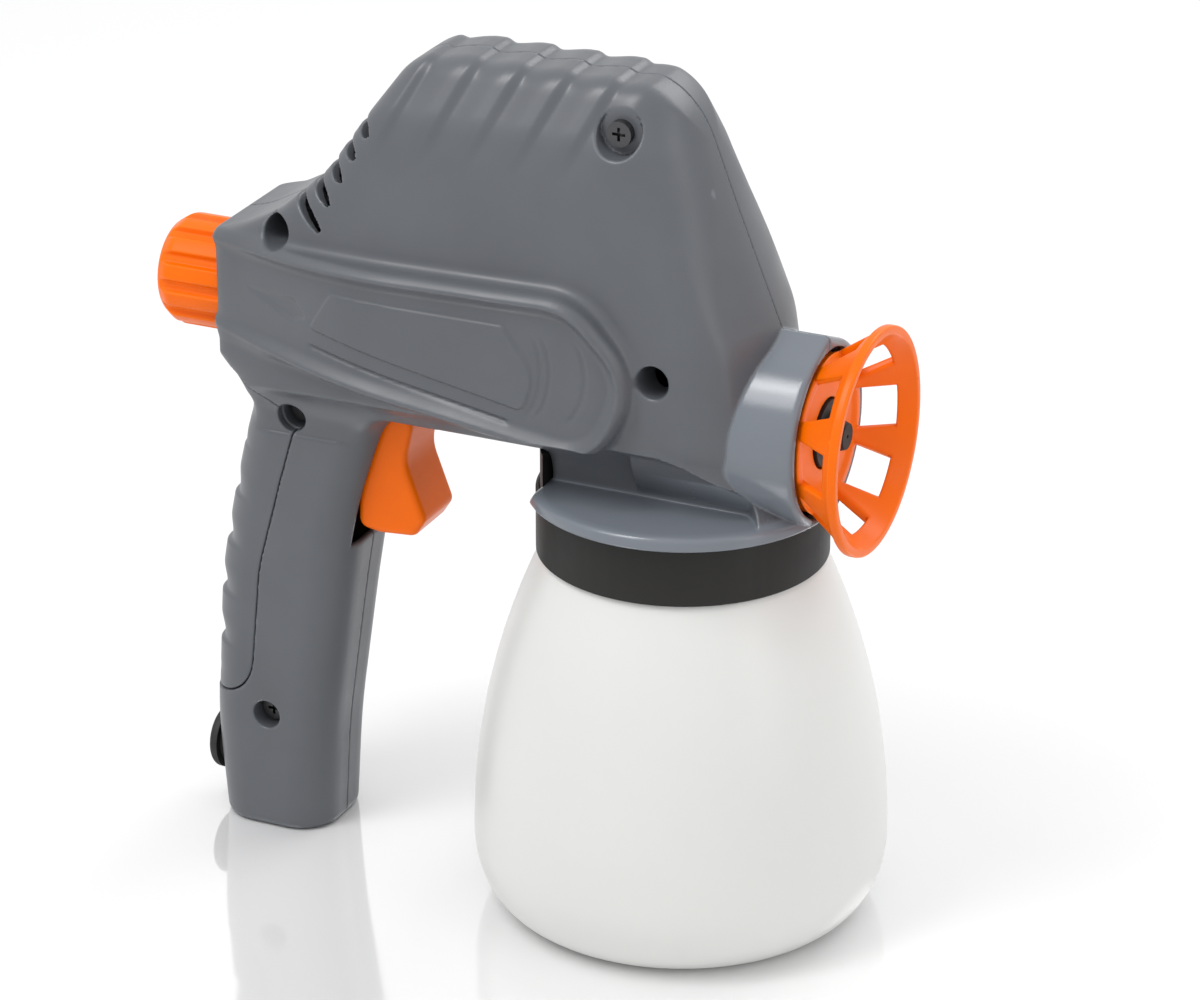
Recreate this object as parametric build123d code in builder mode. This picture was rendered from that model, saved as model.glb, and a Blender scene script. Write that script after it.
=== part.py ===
from build123d import *
import os
from math import pi, radians, sqrt

# Handheld airless paint sprayer with an 800 ml screw-on jar.
# Millimetres.  +X is the spray direction, +Z is up, and the origin is the centre
# of the jar's foot, on the floor that the jar and the grip stand on.

os.makedirs("parts", exist_ok=True)

# ------------------------------------------------------------------ driving sizes

# Fits
running_fit = 0.05  # radial, a pin, shaft or plunger in its bore
seat_fit = 0.02  # radial, a fixed piece in its bore
body_gap = 0.35  # between pieces that move past each other
loose_gap = 0.8  # between a piece and a housing wall beside it

# Jar
jar_radius = 56.0
jar_foot_radius = 43.0
jar_belly_height = 20.0
jar_shoulder_radius = 37.6
jar_height = 102.5  # floor to the shoulder, just under the collar
jar_wall = 1.8
neck_radius = 34.6

# Collar and seal
collar_radius = 38.9
collar_height = 18.0
collar_plate = 2.6
seal_thickness = 2.0
seal_width = 6.5

# Gun body
wall = 2.4
drum_height = 11.5  # collar top to the body's underside
body_height = 101.5  # underside to crown
body_rear = -128.0
body_front = 31.0
body_half_width = 29.5
crown_half_width = 11.0
pod_half_width = 34.5
rear_half_width = 21.0
skirt_radius = 41.8
skirt_ledge = 2.4
skirt_lip = 1.3
notch_x = -30.0  # the shell stops here and the black drum shows behind it
neck_rear = -34.0
neck_half_width = 18.0
neck_step = 1.5  # from the skirt's rim in to the front of the waist
axis_rise = 9.9  # underside to the pump axis
barrel_radius = 24.8
barrel_front = 40.6

# Grip
grip_centre = -119.3
grip_foot_depth = 33.6
grip_foot_width = 31.4
grip_depth = 41.0
grip_width = 33.5
strap_thickness = 2.8

# Pump
pump_radius = 13.0
pump_rear = -22.0
pump_front = 36.0
piston_radius = 4.0
liner_radius = 6.5
suction_tube_x = 17.0
suction_tube_radius = 4.0
return_tube_x = -12.0
return_tube_radius = 3.0
tube_wall = 1.0

# Nozzle and guard
guard_flange_radius = 21.0
guard_rim_radius = 30.3
guard_rim_front = 54.5
guard_wall = 1.8
guard_windows = 8

# Drive
core_width = 28.0
leg_height = 12.0
yoke_depth = 12.0
coil_gap = 24.0  # between the two legs
coil_margin = 6.7  # from the winding to the body's outer face, less the wall
armature_thickness = 4.0

# Spray control knob
knob_rise = 25.7  # underside to the knob's axis
knob_radius = 15.4
knob_length = 21.2
knob_flutes = 12
spindle_radius = 3.0
spindle_travel = 2.0
spindle_end_gap = 1.5

# Trigger
trigger_width = 19.0
trigger_pivot_x = -80.0
trigger_angle = 9.0

# Screws
screw_radius = 1.75
screw_head_radius = 3.4
screw_head_height = 2.4
boss_wall = 1.4

# ------------------------------------------------------------------ derived levels

collar_top = jar_height + collar_height
floor_z = collar_top + drum_height  # the body's underside
axis_z = floor_z + axis_rise
knob_z = floor_z + knob_rise
crown_z = floor_z + body_height
pivot_z = floor_z + 5.5
armature_pivot_z = crown_z - 14.0
core_top = crown_z - 20.0
core_bottom = core_top - 2 * leg_height - coil_gap
core_front = -12.0
coil_thickness = body_half_width - wall - core_width / 2 - coil_margin
core_rear = -62.0
armature_gap = 2.5  # from the legs' ends to the armature at rest
armature_front = core_rear - armature_gap
armature_rear = armature_front - armature_thickness
seal_top = collar_top - collar_plate - body_gap
neck_top = seal_top - seal_thickness - body_gap

# Housing screws: x, z, recess radius and the recess floor's distance from the parting
screw_places = [
    (-11.0, crown_z - 12.2, 6.0, 15.0),
    (-106.7, knob_z + 24.5, 4.0, 9.0),
    (3.2, axis_z + pump_radius + 5.0, 4.4, 9.0),
    (-106.6, floor_z - 4.7, 4.0, 9.0),
    (-118.4, 35.0, 4.0, 9.0),
]


# ------------------------------------------------------------------ shared shapes


def tube(outer, inner, start, length, plane):
    """Round tube that starts at a distance along the plane's normal."""
    with BuildPart() as piece:
        with BuildSketch(plane.offset(start)):
            Circle(outer)
            if inner > 0:
                Circle(inner, mode=Mode.SUBTRACT)
        extrude(amount=length)
    return piece.part


def box(x0, x1, y0, y1, z0, z1):
    """Box between two corners."""
    with BuildPart() as piece:
        with Locations(((x0 + x1) / 2, (y0 + y1) / 2, (z0 + z1) / 2)):
            Box(x1 - x0, y1 - y0, z1 - z0)
    return piece.part


def side_plane(x, z):
    """Plane facing +Y whose origin is a point of the side view."""
    return Plane(origin=(x, 0, z), x_dir=(-1, 0, 0), z_dir=(0, 1, 0))


def front_plane(z, y=0.0):
    """Plane facing +X, centred on an axis of the gun."""
    return Plane(origin=(0, y, z), x_dir=(0, 1, 0), z_dir=(1, 0, 0))


def coil_spring(radius, wire, start, length, turns, z):
    """Compression spring along X with its wire inside the two end planes."""
    first = start + wire + running_fit
    rise = length - 2 * (wire + running_fit)
    path = Plane(origin=(first, 0, z), x_dir=(0, 1, 0), z_dir=(1, 0, 0)) * Helix(
        rise / turns, rise, radius
    )
    with BuildPart() as piece:
        with BuildLine():
            add(path)
        with BuildSketch(Plane(origin=path @ 0, z_dir=path % 0)):
            Circle(wire)
        sweep()
    return piece.part


def jar_solid(inset):
    """Solid of revolution inside the jar's outline, set in by a wall."""
    shoulder_z = jar_height - inset
    with BuildPart() as solid:
        with BuildSketch(Plane.XZ):
            with BuildLine():
                side = TangentArc(
                    (jar_radius - inset, jar_belly_height),
                    (jar_shoulder_radius - inset, shoulder_z),
                    tangent=(0, 1),
                )
                corner = TangentArc(
                    (jar_radius - inset, jar_belly_height),
                    (jar_foot_radius - inset / 2, inset),
                    tangent=(0, -1),
                )
                Polyline(
                    side @ 1,
                    (neck_radius - inset, shoulder_z),
                    (neck_radius - inset, neck_top),
                    (0, neck_top),
                    (0, inset),
                    corner @ 1,
                )
            make_face()
        revolve(axis=Axis.Z)
    return solid.part


def body_solid(inset):
    """Body of the gun: side outline, cross-section and plan, each set in by a wall."""
    rear = body_rear
    slope_foot = (rear, knob_z + 16.5)
    slope_top = (-73.0, crown_z - 3.0)
    slope_mid = (-98.5, crown_z - 36.0)
    nose_top = (3.0, crown_z - 4.0)
    with BuildPart() as solid:
        with BuildSketch(Plane.XZ):
            with BuildLine():
                slope = ThreePointArc(slope_foot, slope_mid, slope_top)
                Polyline(
                    slope @ 1,
                    (-66.0, crown_z),
                    (-6.0, crown_z),
                    nose_top,
                    (body_front - 1.0, axis_z + 15.0),
                    (body_front, axis_z),
                    (body_front - 2.0, floor_z),
                    (-78.0, floor_z),
                    (-96.0, floor_z - 2.0),
                    (-117.5, floor_z - 2.0),
                    (rear, floor_z + 10.0),
                    slope @ 0,
                )
            make_face()
            if inset > 0:
                offset(amount=-inset)
        extrude(amount=2 * pod_half_width, both=True)
        with BuildSketch(Plane.YZ):
            with BuildLine():
                right = Polyline(
                    (0, crown_z),
                    (crown_half_width, crown_z - 1.5),
                    (body_half_width - 9.0, crown_z - 15.0),
                    (body_half_width - 0.5, crown_z - 49.8),
                    (body_half_width, axis_z),
                    (body_half_width - 7.0, floor_z - 4.0),
                    (0, floor_z - 4.0),
                )
                mirror(right, about=Plane.YZ)
            make_face()
            if inset > 0:
                offset(amount=-inset)
        extrude(amount=-2 * body_rear, both=True, mode=Mode.INTERSECT)
        with BuildSketch(Plane.XY):
            with BuildLine():
                flank = Polyline(
                    (rear, 0),
                    (rear, rear_half_width),
                    (-70.0, body_half_width),
                    (8.0, body_half_width),
                    (body_front - 6.0, body_half_width - 8.0),
                )
                nose = ThreePointArc(
                    flank @ 1, (body_front, 0), (body_front - 6.0, -body_half_width + 8.0)
                )
                Polyline(
                    nose @ 1,
                    (8.0, -body_half_width),
                    (-70.0, -body_half_width),
                    (rear, -rear_half_width),
                    (rear, 0),
                )
            make_face()
            if inset > 0:
                offset(amount=-inset)
        extrude(amount=crown_z + jar_radius, both=True, mode=Mode.INTERSECT)
    return solid.part


def pod_solid(inset):
    """Stadium-shaped pod that stands out on both sides of the body."""
    with BuildPart() as solid:
        with BuildSketch(Plane.XZ):
            with BuildLine():
                rear = Line((-122.0, knob_z + 17.5), (-122.0, knob_z - 8.0))
                lower = Line(rear @ 1, (-20.0, axis_z - 4.5))
                upper = Line((-20.0, axis_z + 39.0), rear @ 0)
                ThreePointArc(lower @ 1, (-1.0, axis_z + 18.5), upper @ 0)
            make_face()
            if inset > 0:
                offset(amount=-inset)
        extrude(amount=2 * pod_half_width, both=True)
        with BuildSketch(Plane.XY):
            Polygon(
                (-126.0, rear_half_width - 1.0),
                (-98.0, pod_half_width - 3.0),
                (-66.0, pod_half_width),
                (-16.0, pod_half_width),
                (2.0, pod_half_width - 5.0),
                (2.0, -pod_half_width + 5.0),
                (-16.0, -pod_half_width),
                (-66.0, -pod_half_width),
                (-98.0, -pod_half_width + 3.0),
                (-126.0, -rear_half_width + 1.0),
                align=None,
            )
            if inset > 0:
                offset(amount=-inset)
        extrude(amount=crown_z + jar_radius, both=True, mode=Mode.INTERSECT)
    return solid.part


def grip_solid(inset, bottom=0.0):
    """Grip lofted through rounded rectangles, set in by a wall."""
    levels = [
        (bottom, grip_centre, grip_foot_depth, grip_foot_width),
        (30.0, grip_centre, grip_depth - 3.6, grip_width - 0.8),
        (floor_z - 57.0, grip_centre + 4.8, grip_depth, grip_width),
        (floor_z - 32.0, grip_centre + 9.0, grip_depth - 0.6, grip_width + 0.5),
        (floor_z + 4.0, grip_centre + 19.8, grip_depth + 2.5, grip_width + 6.0),
    ]
    with BuildPart() as solid:
        for z, centre, depth, width in levels:
            with BuildSketch(Plane((centre, 0, z))):
                RectangleRounded(depth - 2 * inset, width - 2 * inset, 12.0 - inset)
        loft()
    return solid.part


def neck_solid(inset, bottom, top):
    """Waist between the skirt and the body, flat on both sides and round in front."""
    with BuildPart() as solid:
        with BuildSketch(Plane.XY.offset(bottom)):
            Circle(skirt_radius - neck_step)
            with Locations(((neck_rear + skirt_radius) / 2, 0)):
                Rectangle(skirt_radius - neck_rear, 2 * neck_half_width, mode=Mode.INTERSECT)
            if inset > 0:
                offset(amount=-inset)
        extrude(amount=top - bottom)
    return solid.part


def strap_zone():
    """Region behind the parting line of the grip's rear insert."""
    with BuildPart() as zone:
        with BuildSketch(Plane.XZ):
            Polygon(
                (-104.5, floor_z - 7.5),
                (-111.5, floor_z - 25.5),
                (-118.8, floor_z - 50.5),
                (-122.7, floor_z - 75.5),
                (-123.5, 38.5),
                (-160.0, 36.5),
                (-160.0, floor_z + 1.0),
                (-122.0, floor_z + 1.0),
                align=None,
            )
        extrude(amount=pod_half_width, both=True)
    return zone.part


# ------------------------------------------------------------------ jar and its seal


def make_jar():
    inside = jar_solid(jar_wall)
    with BuildPart() as jar:
        add(jar_solid(0.0))
        add(inside, mode=Mode.SUBTRACT)
    jar.part.label = "jar"
    export_step(jar.part, "parts/jar.step")


def make_jar_seal():
    with BuildPart() as jar_seal:
        add(tube(neck_radius - body_gap, neck_radius - seal_width, seal_top - seal_thickness,
                 seal_thickness, Plane.XY))
    jar_seal.part.label = "jar_seal"
    export_step(jar_seal.part, "parts/jar_seal.step")


# ------------------------------------------------------------------ pump

collar_bore = neck_radius + body_gap
socket_depth = 8.0
tube_top = collar_top + socket_depth - collar_plate
chamber_radius = piston_radius + 0.6
liner_rear = pump_rear + 1.0
liner_front = 6.0
seat_rear = 12.0
seat_length = 2.5
nut_rear = pump_front - 8.0


def make_pump_passages():
    """Passages from the two tube sockets up into the cylinder."""
    inlet_x = (liner_front + seat_rear) / 2
    inlet_z = tube_top + 2.0
    with BuildPart() as passages:
        add(tube(2.0, 0, inlet_z - 3.0, axis_z - inlet_z + 3.0,
                 Plane.XY.shift_origin((inlet_x, 0, 0))))
        add(box(inlet_x - 1.5, suction_tube_x + 1.5, -1.5, 1.5, tube_top - 0.5, inlet_z))
        add(tube(1.2, 0, tube_top - 0.5, 3.5, Plane.XY.shift_origin((return_tube_x, 0, 0))))
    return passages.part


def make_pump_housing():
    """Collar, tower and pump block, one black moulding."""
    passages = make_pump_passages()
    front_block = box(nut_rear - body_gap, 2 * skirt_radius, -skirt_radius, skirt_radius, 0, crown_z)
    tower = neck_solid(wall + loose_gap, collar_top, floor_z) - front_block
    suction = Plane.XY.shift_origin((suction_tube_x, 0, 0))
    returning = Plane.XY.shift_origin((return_tube_x, 0, 0))
    with BuildPart() as pump_housing:
        add(tube(collar_radius, 0, jar_height + body_gap, collar_height - body_gap, Plane.XY))
        add(tube(collar_bore, 0, jar_height - 1, collar_height - collar_plate + 1, Plane.XY),
            mode=Mode.SUBTRACT)
        chamfer(pump_housing.faces().sort_by(Axis.Z)[-1].outer_wire().edges(), 0.8)
        add(tower)
        with BuildSketch(Plane.XY.offset(collar_top)):
            Circle(collar_radius - 1.2)
            with Locations((-collar_radius, 0)):
                Rectangle(2 * (collar_radius + notch_x - body_gap), 2 * collar_radius,
                          mode=Mode.INTERSECT)
        extrude(amount=drum_height - body_gap)
        add(box(pump_rear + 2, pump_front - 10, -10.0, 10.0, floor_z, axis_z))
        add(tube(pump_radius, 0, pump_rear, pump_front - pump_rear, front_plane(axis_z)))
        # Bores along the pump axis
        add(tube(liner_radius + seat_fit, 0, pump_rear, liner_front - pump_rear, front_plane(axis_z)),
            mode=Mode.SUBTRACT)
        add(tube(chamber_radius, 0, pump_rear, seat_rear - pump_rear + 1, front_plane(axis_z)),
            mode=Mode.SUBTRACT)
        add(tube(liner_radius + running_fit, 0, seat_rear, pump_front, front_plane(axis_z)),
            mode=Mode.SUBTRACT)
        # Inlet and return passages
        add(tube(suction_tube_radius + seat_fit, 0, seal_top, tube_top - seal_top, suction),
            mode=Mode.SUBTRACT)
        add(tube(return_tube_radius + seat_fit, 0, seal_top, tube_top - seal_top, returning),
            mode=Mode.SUBTRACT)
        add(passages, mode=Mode.SUBTRACT)
    pump_housing.part.label = "pump_housing"
    export_step(pump_housing.part, "parts/pump_housing.step")


def make_pump_liner():
    with BuildPart() as pump_liner:
        add(tube(liner_radius, piston_radius + running_fit, liner_rear, liner_front - liner_rear,
                 front_plane(axis_z)))
    pump_liner.part.label = "pump_liner"
    export_step(pump_liner.part, "parts/pump_liner.step")


piston_head_rear = armature_front + body_gap
piston_head_length = 3.0
piston_front = liner_front - 4.0
spring_radius = piston_radius + 1.4
spring_wire = 0.7


def make_piston():
    """Piston rod with a hardened strike head at its rear end."""
    with BuildPart() as piston:
        add(tube(spring_radius + spring_wire, 0, piston_head_rear, piston_head_length,
                 front_plane(axis_z)))
        fillet(piston.edges().filter_by(GeomType.CIRCLE).sort_by(Axis.X)[0], 0.8)
        add(tube(piston_radius, 0, piston_head_rear + piston_head_length,
                 piston_front - piston_head_rear - piston_head_length, front_plane(axis_z)))
        chamfer(piston.edges().filter_by(GeomType.CIRCLE).sort_by(Axis.X)[-1], 0.5)
    piston.part.label = "piston"
    export_step(piston.part, "parts/piston.step")


def make_piston_spring():
    start = piston_head_rear + piston_head_length
    spring = coil_spring(spring_radius, spring_wire, start, pump_rear - start, 6, axis_z)
    with BuildPart() as piston_spring:
        add(spring)
    piston_spring.part.label = "piston_spring"
    export_step(piston_spring.part, "parts/piston_spring.step")


def make_suction_tube():
    bottom = jar_wall + 5.0
    with BuildPart() as suction_tube:
        add(tube(suction_tube_radius, suction_tube_radius - tube_wall, bottom, tube_top - bottom,
                 Plane.XY.shift_origin((suction_tube_x, 0, 0))))
    suction_tube.part.label = "suction_tube"
    export_step(suction_tube.part, "parts/suction_tube.step")


def make_suction_strainer():
    """Slotted cup pressed onto the lower end of the suction tube."""
    radius = suction_tube_radius + 3.0
    bottom = jar_wall + 2.0
    height = 16.0
    plane = Plane.XY.shift_origin((suction_tube_x, 0, 0))
    with BuildPart() as suction_strainer:
        add(tube(radius, 0, bottom, height, plane))
        add(tube(radius - 1.2, 0, bottom + 1.2, height - 3.2, plane), mode=Mode.SUBTRACT)
        add(tube(suction_tube_radius + seat_fit, 0, bottom + height - 3.0, 4.0, plane),
            mode=Mode.SUBTRACT)
        with Locations(plane.offset(bottom + height / 2 - 1.0)):
            with PolarLocations(radius, 8):
                Box(4.0, 1.6, height - 7.0, mode=Mode.SUBTRACT)
    suction_strainer.part.label = "suction_strainer"
    export_step(suction_strainer.part, "parts/suction_strainer.step")


def make_return_tube():
    bottom = jar_height - 12.0
    with BuildPart() as return_tube:
        add(tube(return_tube_radius, return_tube_radius - tube_wall, bottom, tube_top - bottom,
                 Plane.XY.shift_origin((return_tube_x, 0, 0))))
    return_tube.part.label = "return_tube"
    export_step(return_tube.part, "parts/return_tube.step")


# ------------------------------------------------------------------ outlet valve, nozzle, guard

seat_front = seat_rear + seat_length
ball_radius = 3.0
seat_hole = 1.8
ball_x = seat_front + sqrt(ball_radius**2 - seat_hole**2) + body_gap
nozzle_rear = 27.0
nozzle_head_rear = pump_front + body_gap
nozzle_head_front = nozzle_head_rear + 4.6
nozzle_head_radius = 9.0
ring_x = 31.0
ring_wire = 0.9


def make_outlet_valve_seat():
    with BuildPart() as outlet_valve_seat:
        add(tube(liner_radius, seat_hole, seat_rear, seat_length, front_plane(axis_z)))
    outlet_valve_seat.part.label = "outlet_valve_seat"
    export_step(outlet_valve_seat.part, "parts/outlet_valve_seat.step")


def make_valve_ball():
    with BuildPart() as valve_ball:
        with Locations((ball_x, 0, axis_z)):
            Sphere(ball_radius)
    valve_ball.part.label = "valve_ball"
    export_step(valve_ball.part, "parts/valve_ball.step")


def make_valve_spring():
    start = ball_x + ball_radius
    spring = coil_spring(2.4, 0.3, start, nozzle_rear - start, 4, axis_z)
    with BuildPart() as valve_spring:
        add(spring)
    valve_spring.part.label = "valve_spring"
    export_step(valve_spring.part, "parts/valve_spring.step")


def make_nozzle_insert():
    """Shank, flange and conical tip with the spray orifice."""
    with BuildPart() as nozzle_insert:
        add(tube(liner_radius, 0, nozzle_rear, nozzle_head_rear - nozzle_rear, front_plane(axis_z)))
        add(tube(nozzle_head_radius, 0, nozzle_head_rear, nozzle_head_front - nozzle_head_rear,
                 front_plane(axis_z)))
        with BuildSketch(front_plane(axis_z).offset(nozzle_head_front)):
            RegularPolygon(5.8, 6)
        extrude(amount=2.4)
        with BuildSketch(front_plane(axis_z).offset(nozzle_head_front + 2.4)):
            Circle(4.4)
        extrude(amount=2.6, taper=20)
        add(tube(3.4, 0, nozzle_rear, 14.0, front_plane(axis_z)), mode=Mode.SUBTRACT)
        add(tube(0.5, 0, nozzle_rear, 30.0, front_plane(axis_z)), mode=Mode.SUBTRACT)
        add(tube(liner_radius + 1, liner_radius - 2 * ring_wire, ring_x - ring_wire - 0.1,
                 2 * ring_wire + 0.2, front_plane(axis_z)), mode=Mode.SUBTRACT)
    nozzle_insert.part.label = "nozzle_insert"
    export_step(nozzle_insert.part, "parts/nozzle_insert.step")


def make_nozzle_ring():
    with BuildPart() as nozzle_ring:
        with BuildSketch(Plane.XZ.shift_origin((0, 0, axis_z))):
            with Locations((ring_x, liner_radius - ring_wire)):
                Circle(ring_wire)
        revolve(axis=Axis((0, 0, axis_z), (1, 0, 0)))
    nozzle_ring.part.label = "nozzle_ring"
    export_step(nozzle_ring.part, "parts/nozzle_ring.step")


def make_spray_guard():
    """Union nut, flange and windowed cone with a front band."""
    flange_rear = nozzle_head_rear + 0.6
    flange_front = flange_rear + 3.2
    cone_front = guard_rim_front - 5.0
    rim_inner = guard_rim_radius - guard_wall - 1.2
    nut_bore = pump_radius + body_gap
    with BuildPart() as spray_guard:
        with BuildSketch(Plane.XZ):
            with BuildLine():
                Polyline(
                    (nut_rear, axis_z + nut_bore),
                    (nut_rear, axis_z + nut_bore + guard_wall),
                    (flange_rear, axis_z + nut_bore + guard_wall),
                    (flange_rear, axis_z + guard_flange_radius),
                    (flange_front, axis_z + guard_flange_radius),
                    (flange_front + 0.6, axis_z + guard_flange_radius - 1.2),
                    (cone_front, axis_z + guard_rim_radius - 2.6),
                    (cone_front, axis_z + guard_rim_radius),
                    (guard_rim_front - 1.0, axis_z + guard_rim_radius),
                    (guard_rim_front, axis_z + guard_rim_radius - 1.0),
                    (guard_rim_front, axis_z + rim_inner),
                    (cone_front, axis_z + rim_inner - guard_wall + 0.6),
                    (flange_front, axis_z + guard_flange_radius - 1.2 - 1.6 * guard_wall),
                    (flange_front, axis_z + nozzle_head_radius + body_gap),
                    (flange_rear + 0.8, axis_z + nozzle_head_radius + body_gap),
                    (flange_rear + 0.8, axis_z + nut_bore),
                    close=True,
                )
            make_face()
        revolve(axis=Axis((0, 0, axis_z), (1, 0, 0)))
        with BuildSketch(front_plane(axis_z).offset(flange_front + 0.9)):
            with PolarLocations(guard_rim_radius - 6.0, guard_windows):
                Rectangle(16.0, 11.4)
        extrude(amount=cone_front - flange_front - 1.4, mode=Mode.SUBTRACT)
    spray_guard.part.label = "spray_guard"
    export_step(spray_guard.part, "parts/spray_guard.step")


# ------------------------------------------------------------------ magnetic drive

yoke_rear = core_front - yoke_depth
bobbin_wall = 1.2
bobbin_gap = 0.2
bobbin_bottom = core_bottom + leg_height + bobbin_gap
bobbin_top = core_top - leg_height - bobbin_gap
core_screw_places = [
    (core_front - yoke_depth / 2, core_bottom + leg_height / 2),
    (core_front - yoke_depth / 2, core_top - leg_height / 2),
]


def make_stator_core():
    """C-shaped lamination stack."""
    with BuildPart() as stator_core:
        add(box(core_rear, core_front, -core_width / 2, core_width / 2, core_bottom, core_top))
        add(box(core_rear - 1, yoke_rear, -core_width, core_width,
                core_bottom + leg_height, core_top - leg_height), mode=Mode.SUBTRACT)
        for x, z in core_screw_places:
            add(tube(screw_radius + running_fit, 0, -core_width, 2 * core_width, side_plane(x, z)),
                mode=Mode.SUBTRACT)
    stator_core.part.label = "stator_core"
    export_step(stator_core.part, "parts/stator_core.step")


def bobbin_ring(grow, z0, z1):
    """Rounded block around the yoke."""
    with BuildPart() as piece:
        with BuildSketch(Plane(((core_front + yoke_rear) / 2, 0, z0))):
            RectangleRounded(yoke_depth + 2 * grow, core_width + 2 * grow, min(grow, 3.0))
        extrude(amount=z1 - z0)
    return piece.part


def make_coil_bobbin():
    tube_grow = bobbin_gap + bobbin_wall
    with BuildPart() as coil_bobbin:
        add(bobbin_ring(tube_grow, bobbin_bottom, bobbin_top))
        add(bobbin_ring(coil_thickness + tube_grow, bobbin_bottom, bobbin_bottom + bobbin_wall))
        add(bobbin_ring(coil_thickness + tube_grow, bobbin_top - bobbin_wall, bobbin_top))
        add(box(yoke_rear - bobbin_gap, core_front + bobbin_gap, -core_width / 2 - bobbin_gap,
                core_width / 2 + bobbin_gap, bobbin_bottom - 1, bobbin_top + 1), mode=Mode.SUBTRACT)
    coil_bobbin.part.label = "coil_bobbin"
    export_step(coil_bobbin.part, "parts/coil_bobbin.step")


def make_coil_winding():
    tube_grow = bobbin_gap + bobbin_wall
    z0 = bobbin_bottom + bobbin_wall
    z1 = bobbin_top - bobbin_wall
    with BuildPart() as coil_winding:
        add(bobbin_ring(coil_thickness + tube_grow - 1.0, z0, z1))
        add(bobbin_ring(tube_grow, z0 - 1, z1 + 1), mode=Mode.SUBTRACT)
    coil_winding.part.label = "coil_winding"
    export_step(coil_winding.part, "parts/coil_winding.step")


armature_pivot_x = (armature_front + armature_rear) / 2
armature_bottom = axis_z - spring_radius - spring_wire
armature_width = 24.0
armature_pin_radius = 1.5


def make_armature():
    """Steel rocker that hangs from its pin and strikes the piston."""
    with BuildPart() as armature:
        add(box(armature_rear, armature_front, -armature_width / 2, armature_width / 2,
                armature_bottom, armature_pivot_z))
        add(tube(armature_pin_radius + 2.0, 0, -armature_width / 2, armature_width,
                 side_plane(armature_pivot_x, armature_pivot_z)))
        add(tube(armature_pin_radius + running_fit, 0, -armature_width, 2 * armature_width,
                 side_plane(armature_pivot_x, armature_pivot_z)), mode=Mode.SUBTRACT)
    armature.part.label = "armature"
    export_step(armature.part, "parts/armature.step")


armature_pin_half = armature_width / 2 + 4.0


def make_armature_pin():
    with BuildPart() as armature_pin:
        add(tube(armature_pin_radius, 0, -armature_pin_half, 2 * armature_pin_half,
                 side_plane(armature_pivot_x, armature_pivot_z)))
    armature_pin.part.label = "armature_pin"
    export_step(armature_pin.part, "parts/armature_pin.step")


# ------------------------------------------------------------------ spray control

knob_front = body_rear - body_gap
knob_rear = knob_front - knob_length
bush_radius = spindle_radius + 3.0
bush_rear = knob_front - 11.0
bush_flange = 2.0
spindle_tip = armature_rear - body_gap
buffer_length = 4.0
spindle_rear = bush_rear - 3.0


def make_knob_bush():
    """Brass bush held in the rear plate; the knob turns on its neck."""
    with BuildPart() as knob_bush:
        add(tube(bush_radius, 0, bush_rear, body_rear + wall - bush_rear, front_plane(knob_z)))
        with BuildSketch(front_plane(knob_z).offset(body_rear + wall)):
            RegularPolygon(bush_radius + 2.5, 6)
        extrude(amount=bush_flange)
        add(tube(spindle_radius + running_fit, 0, bush_rear - 1, 40.0, front_plane(knob_z)),
            mode=Mode.SUBTRACT)
    knob_bush.part.label = "knob_bush"
    export_step(knob_bush.part, "parts/knob_bush.step")


def make_control_knob():
    """Hollow fluted knob with a hub that runs on the bush."""
    hub_bore = bush_radius + running_fit
    flute = pi * knob_radius / knob_flutes
    with BuildPart() as control_knob:
        add(tube(knob_radius, 0, knob_rear, knob_length, front_plane(knob_z)))
        fillet(control_knob.edges().filter_by(GeomType.CIRCLE).sort_by(Axis.X)[0], 3.0)
        with BuildSketch(front_plane(knob_z).offset(knob_rear - 1)):
            with PolarLocations(knob_radius + 0.3, knob_flutes):
                Rectangle(2.4, 0.75 * flute)
        extrude(amount=knob_length + 2, mode=Mode.SUBTRACT)
        add(tube(knob_radius - 3.6, bush_radius + 2.4, knob_rear + 3.0, knob_length,
                 front_plane(knob_z)), mode=Mode.SUBTRACT)
        add(tube(hub_bore, 0, bush_rear - body_gap, knob_length, front_plane(knob_z)),
            mode=Mode.SUBTRACT)
        add(tube(spindle_radius + running_fit, 0, spindle_rear - spindle_travel - spindle_end_gap,
                 knob_length, front_plane(knob_z)), mode=Mode.SUBTRACT)
    control_knob.part.label = "control_knob"
    export_step(control_knob.part, "parts/control_knob.step")


def make_adjuster_spindle():
    with BuildPart() as adjuster_spindle:
        add(tube(spindle_radius, 0, spindle_rear, spindle_tip - buffer_length - spindle_rear,
                 front_plane(knob_z)))
        add(tube(spindle_radius + 1.0, 0, spindle_tip - buffer_length - 3.0, 3.0,
                 front_plane(knob_z)))
    adjuster_spindle.part.label = "adjuster_spindle"
    export_step(adjuster_spindle.part, "parts/adjuster_spindle.step")


def make_spindle_buffer():
    with BuildPart() as spindle_buffer:
        add(tube(spindle_radius + 1.5, 0, spindle_tip - buffer_length, buffer_length,
                 front_plane(knob_z)))
        fillet(spindle_buffer.edges().filter_by(GeomType.CIRCLE).sort_by(Axis.X)[-1], 1.0)
    spindle_buffer.part.label = "spindle_buffer"
    export_step(spindle_buffer.part, "parts/spindle_buffer.step")


# ------------------------------------------------------------------ trigger and switch

pivot_pin_radius = 2.0
trigger_rear = -92.0
switch_z = floor_z - 27.5
switch_half_height = 7.0
plunger_radius = 2.0
plunger_gap = 0.8  # leaves room for the lever's tilt across the plunger's tip
plunger_front = trigger_rear - plunger_gap
switch_front = -100.0
switch_rear = -120.0
trigger_spring_z = switch_z + 14.5
trigger_spring_seat = -103.5


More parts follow.
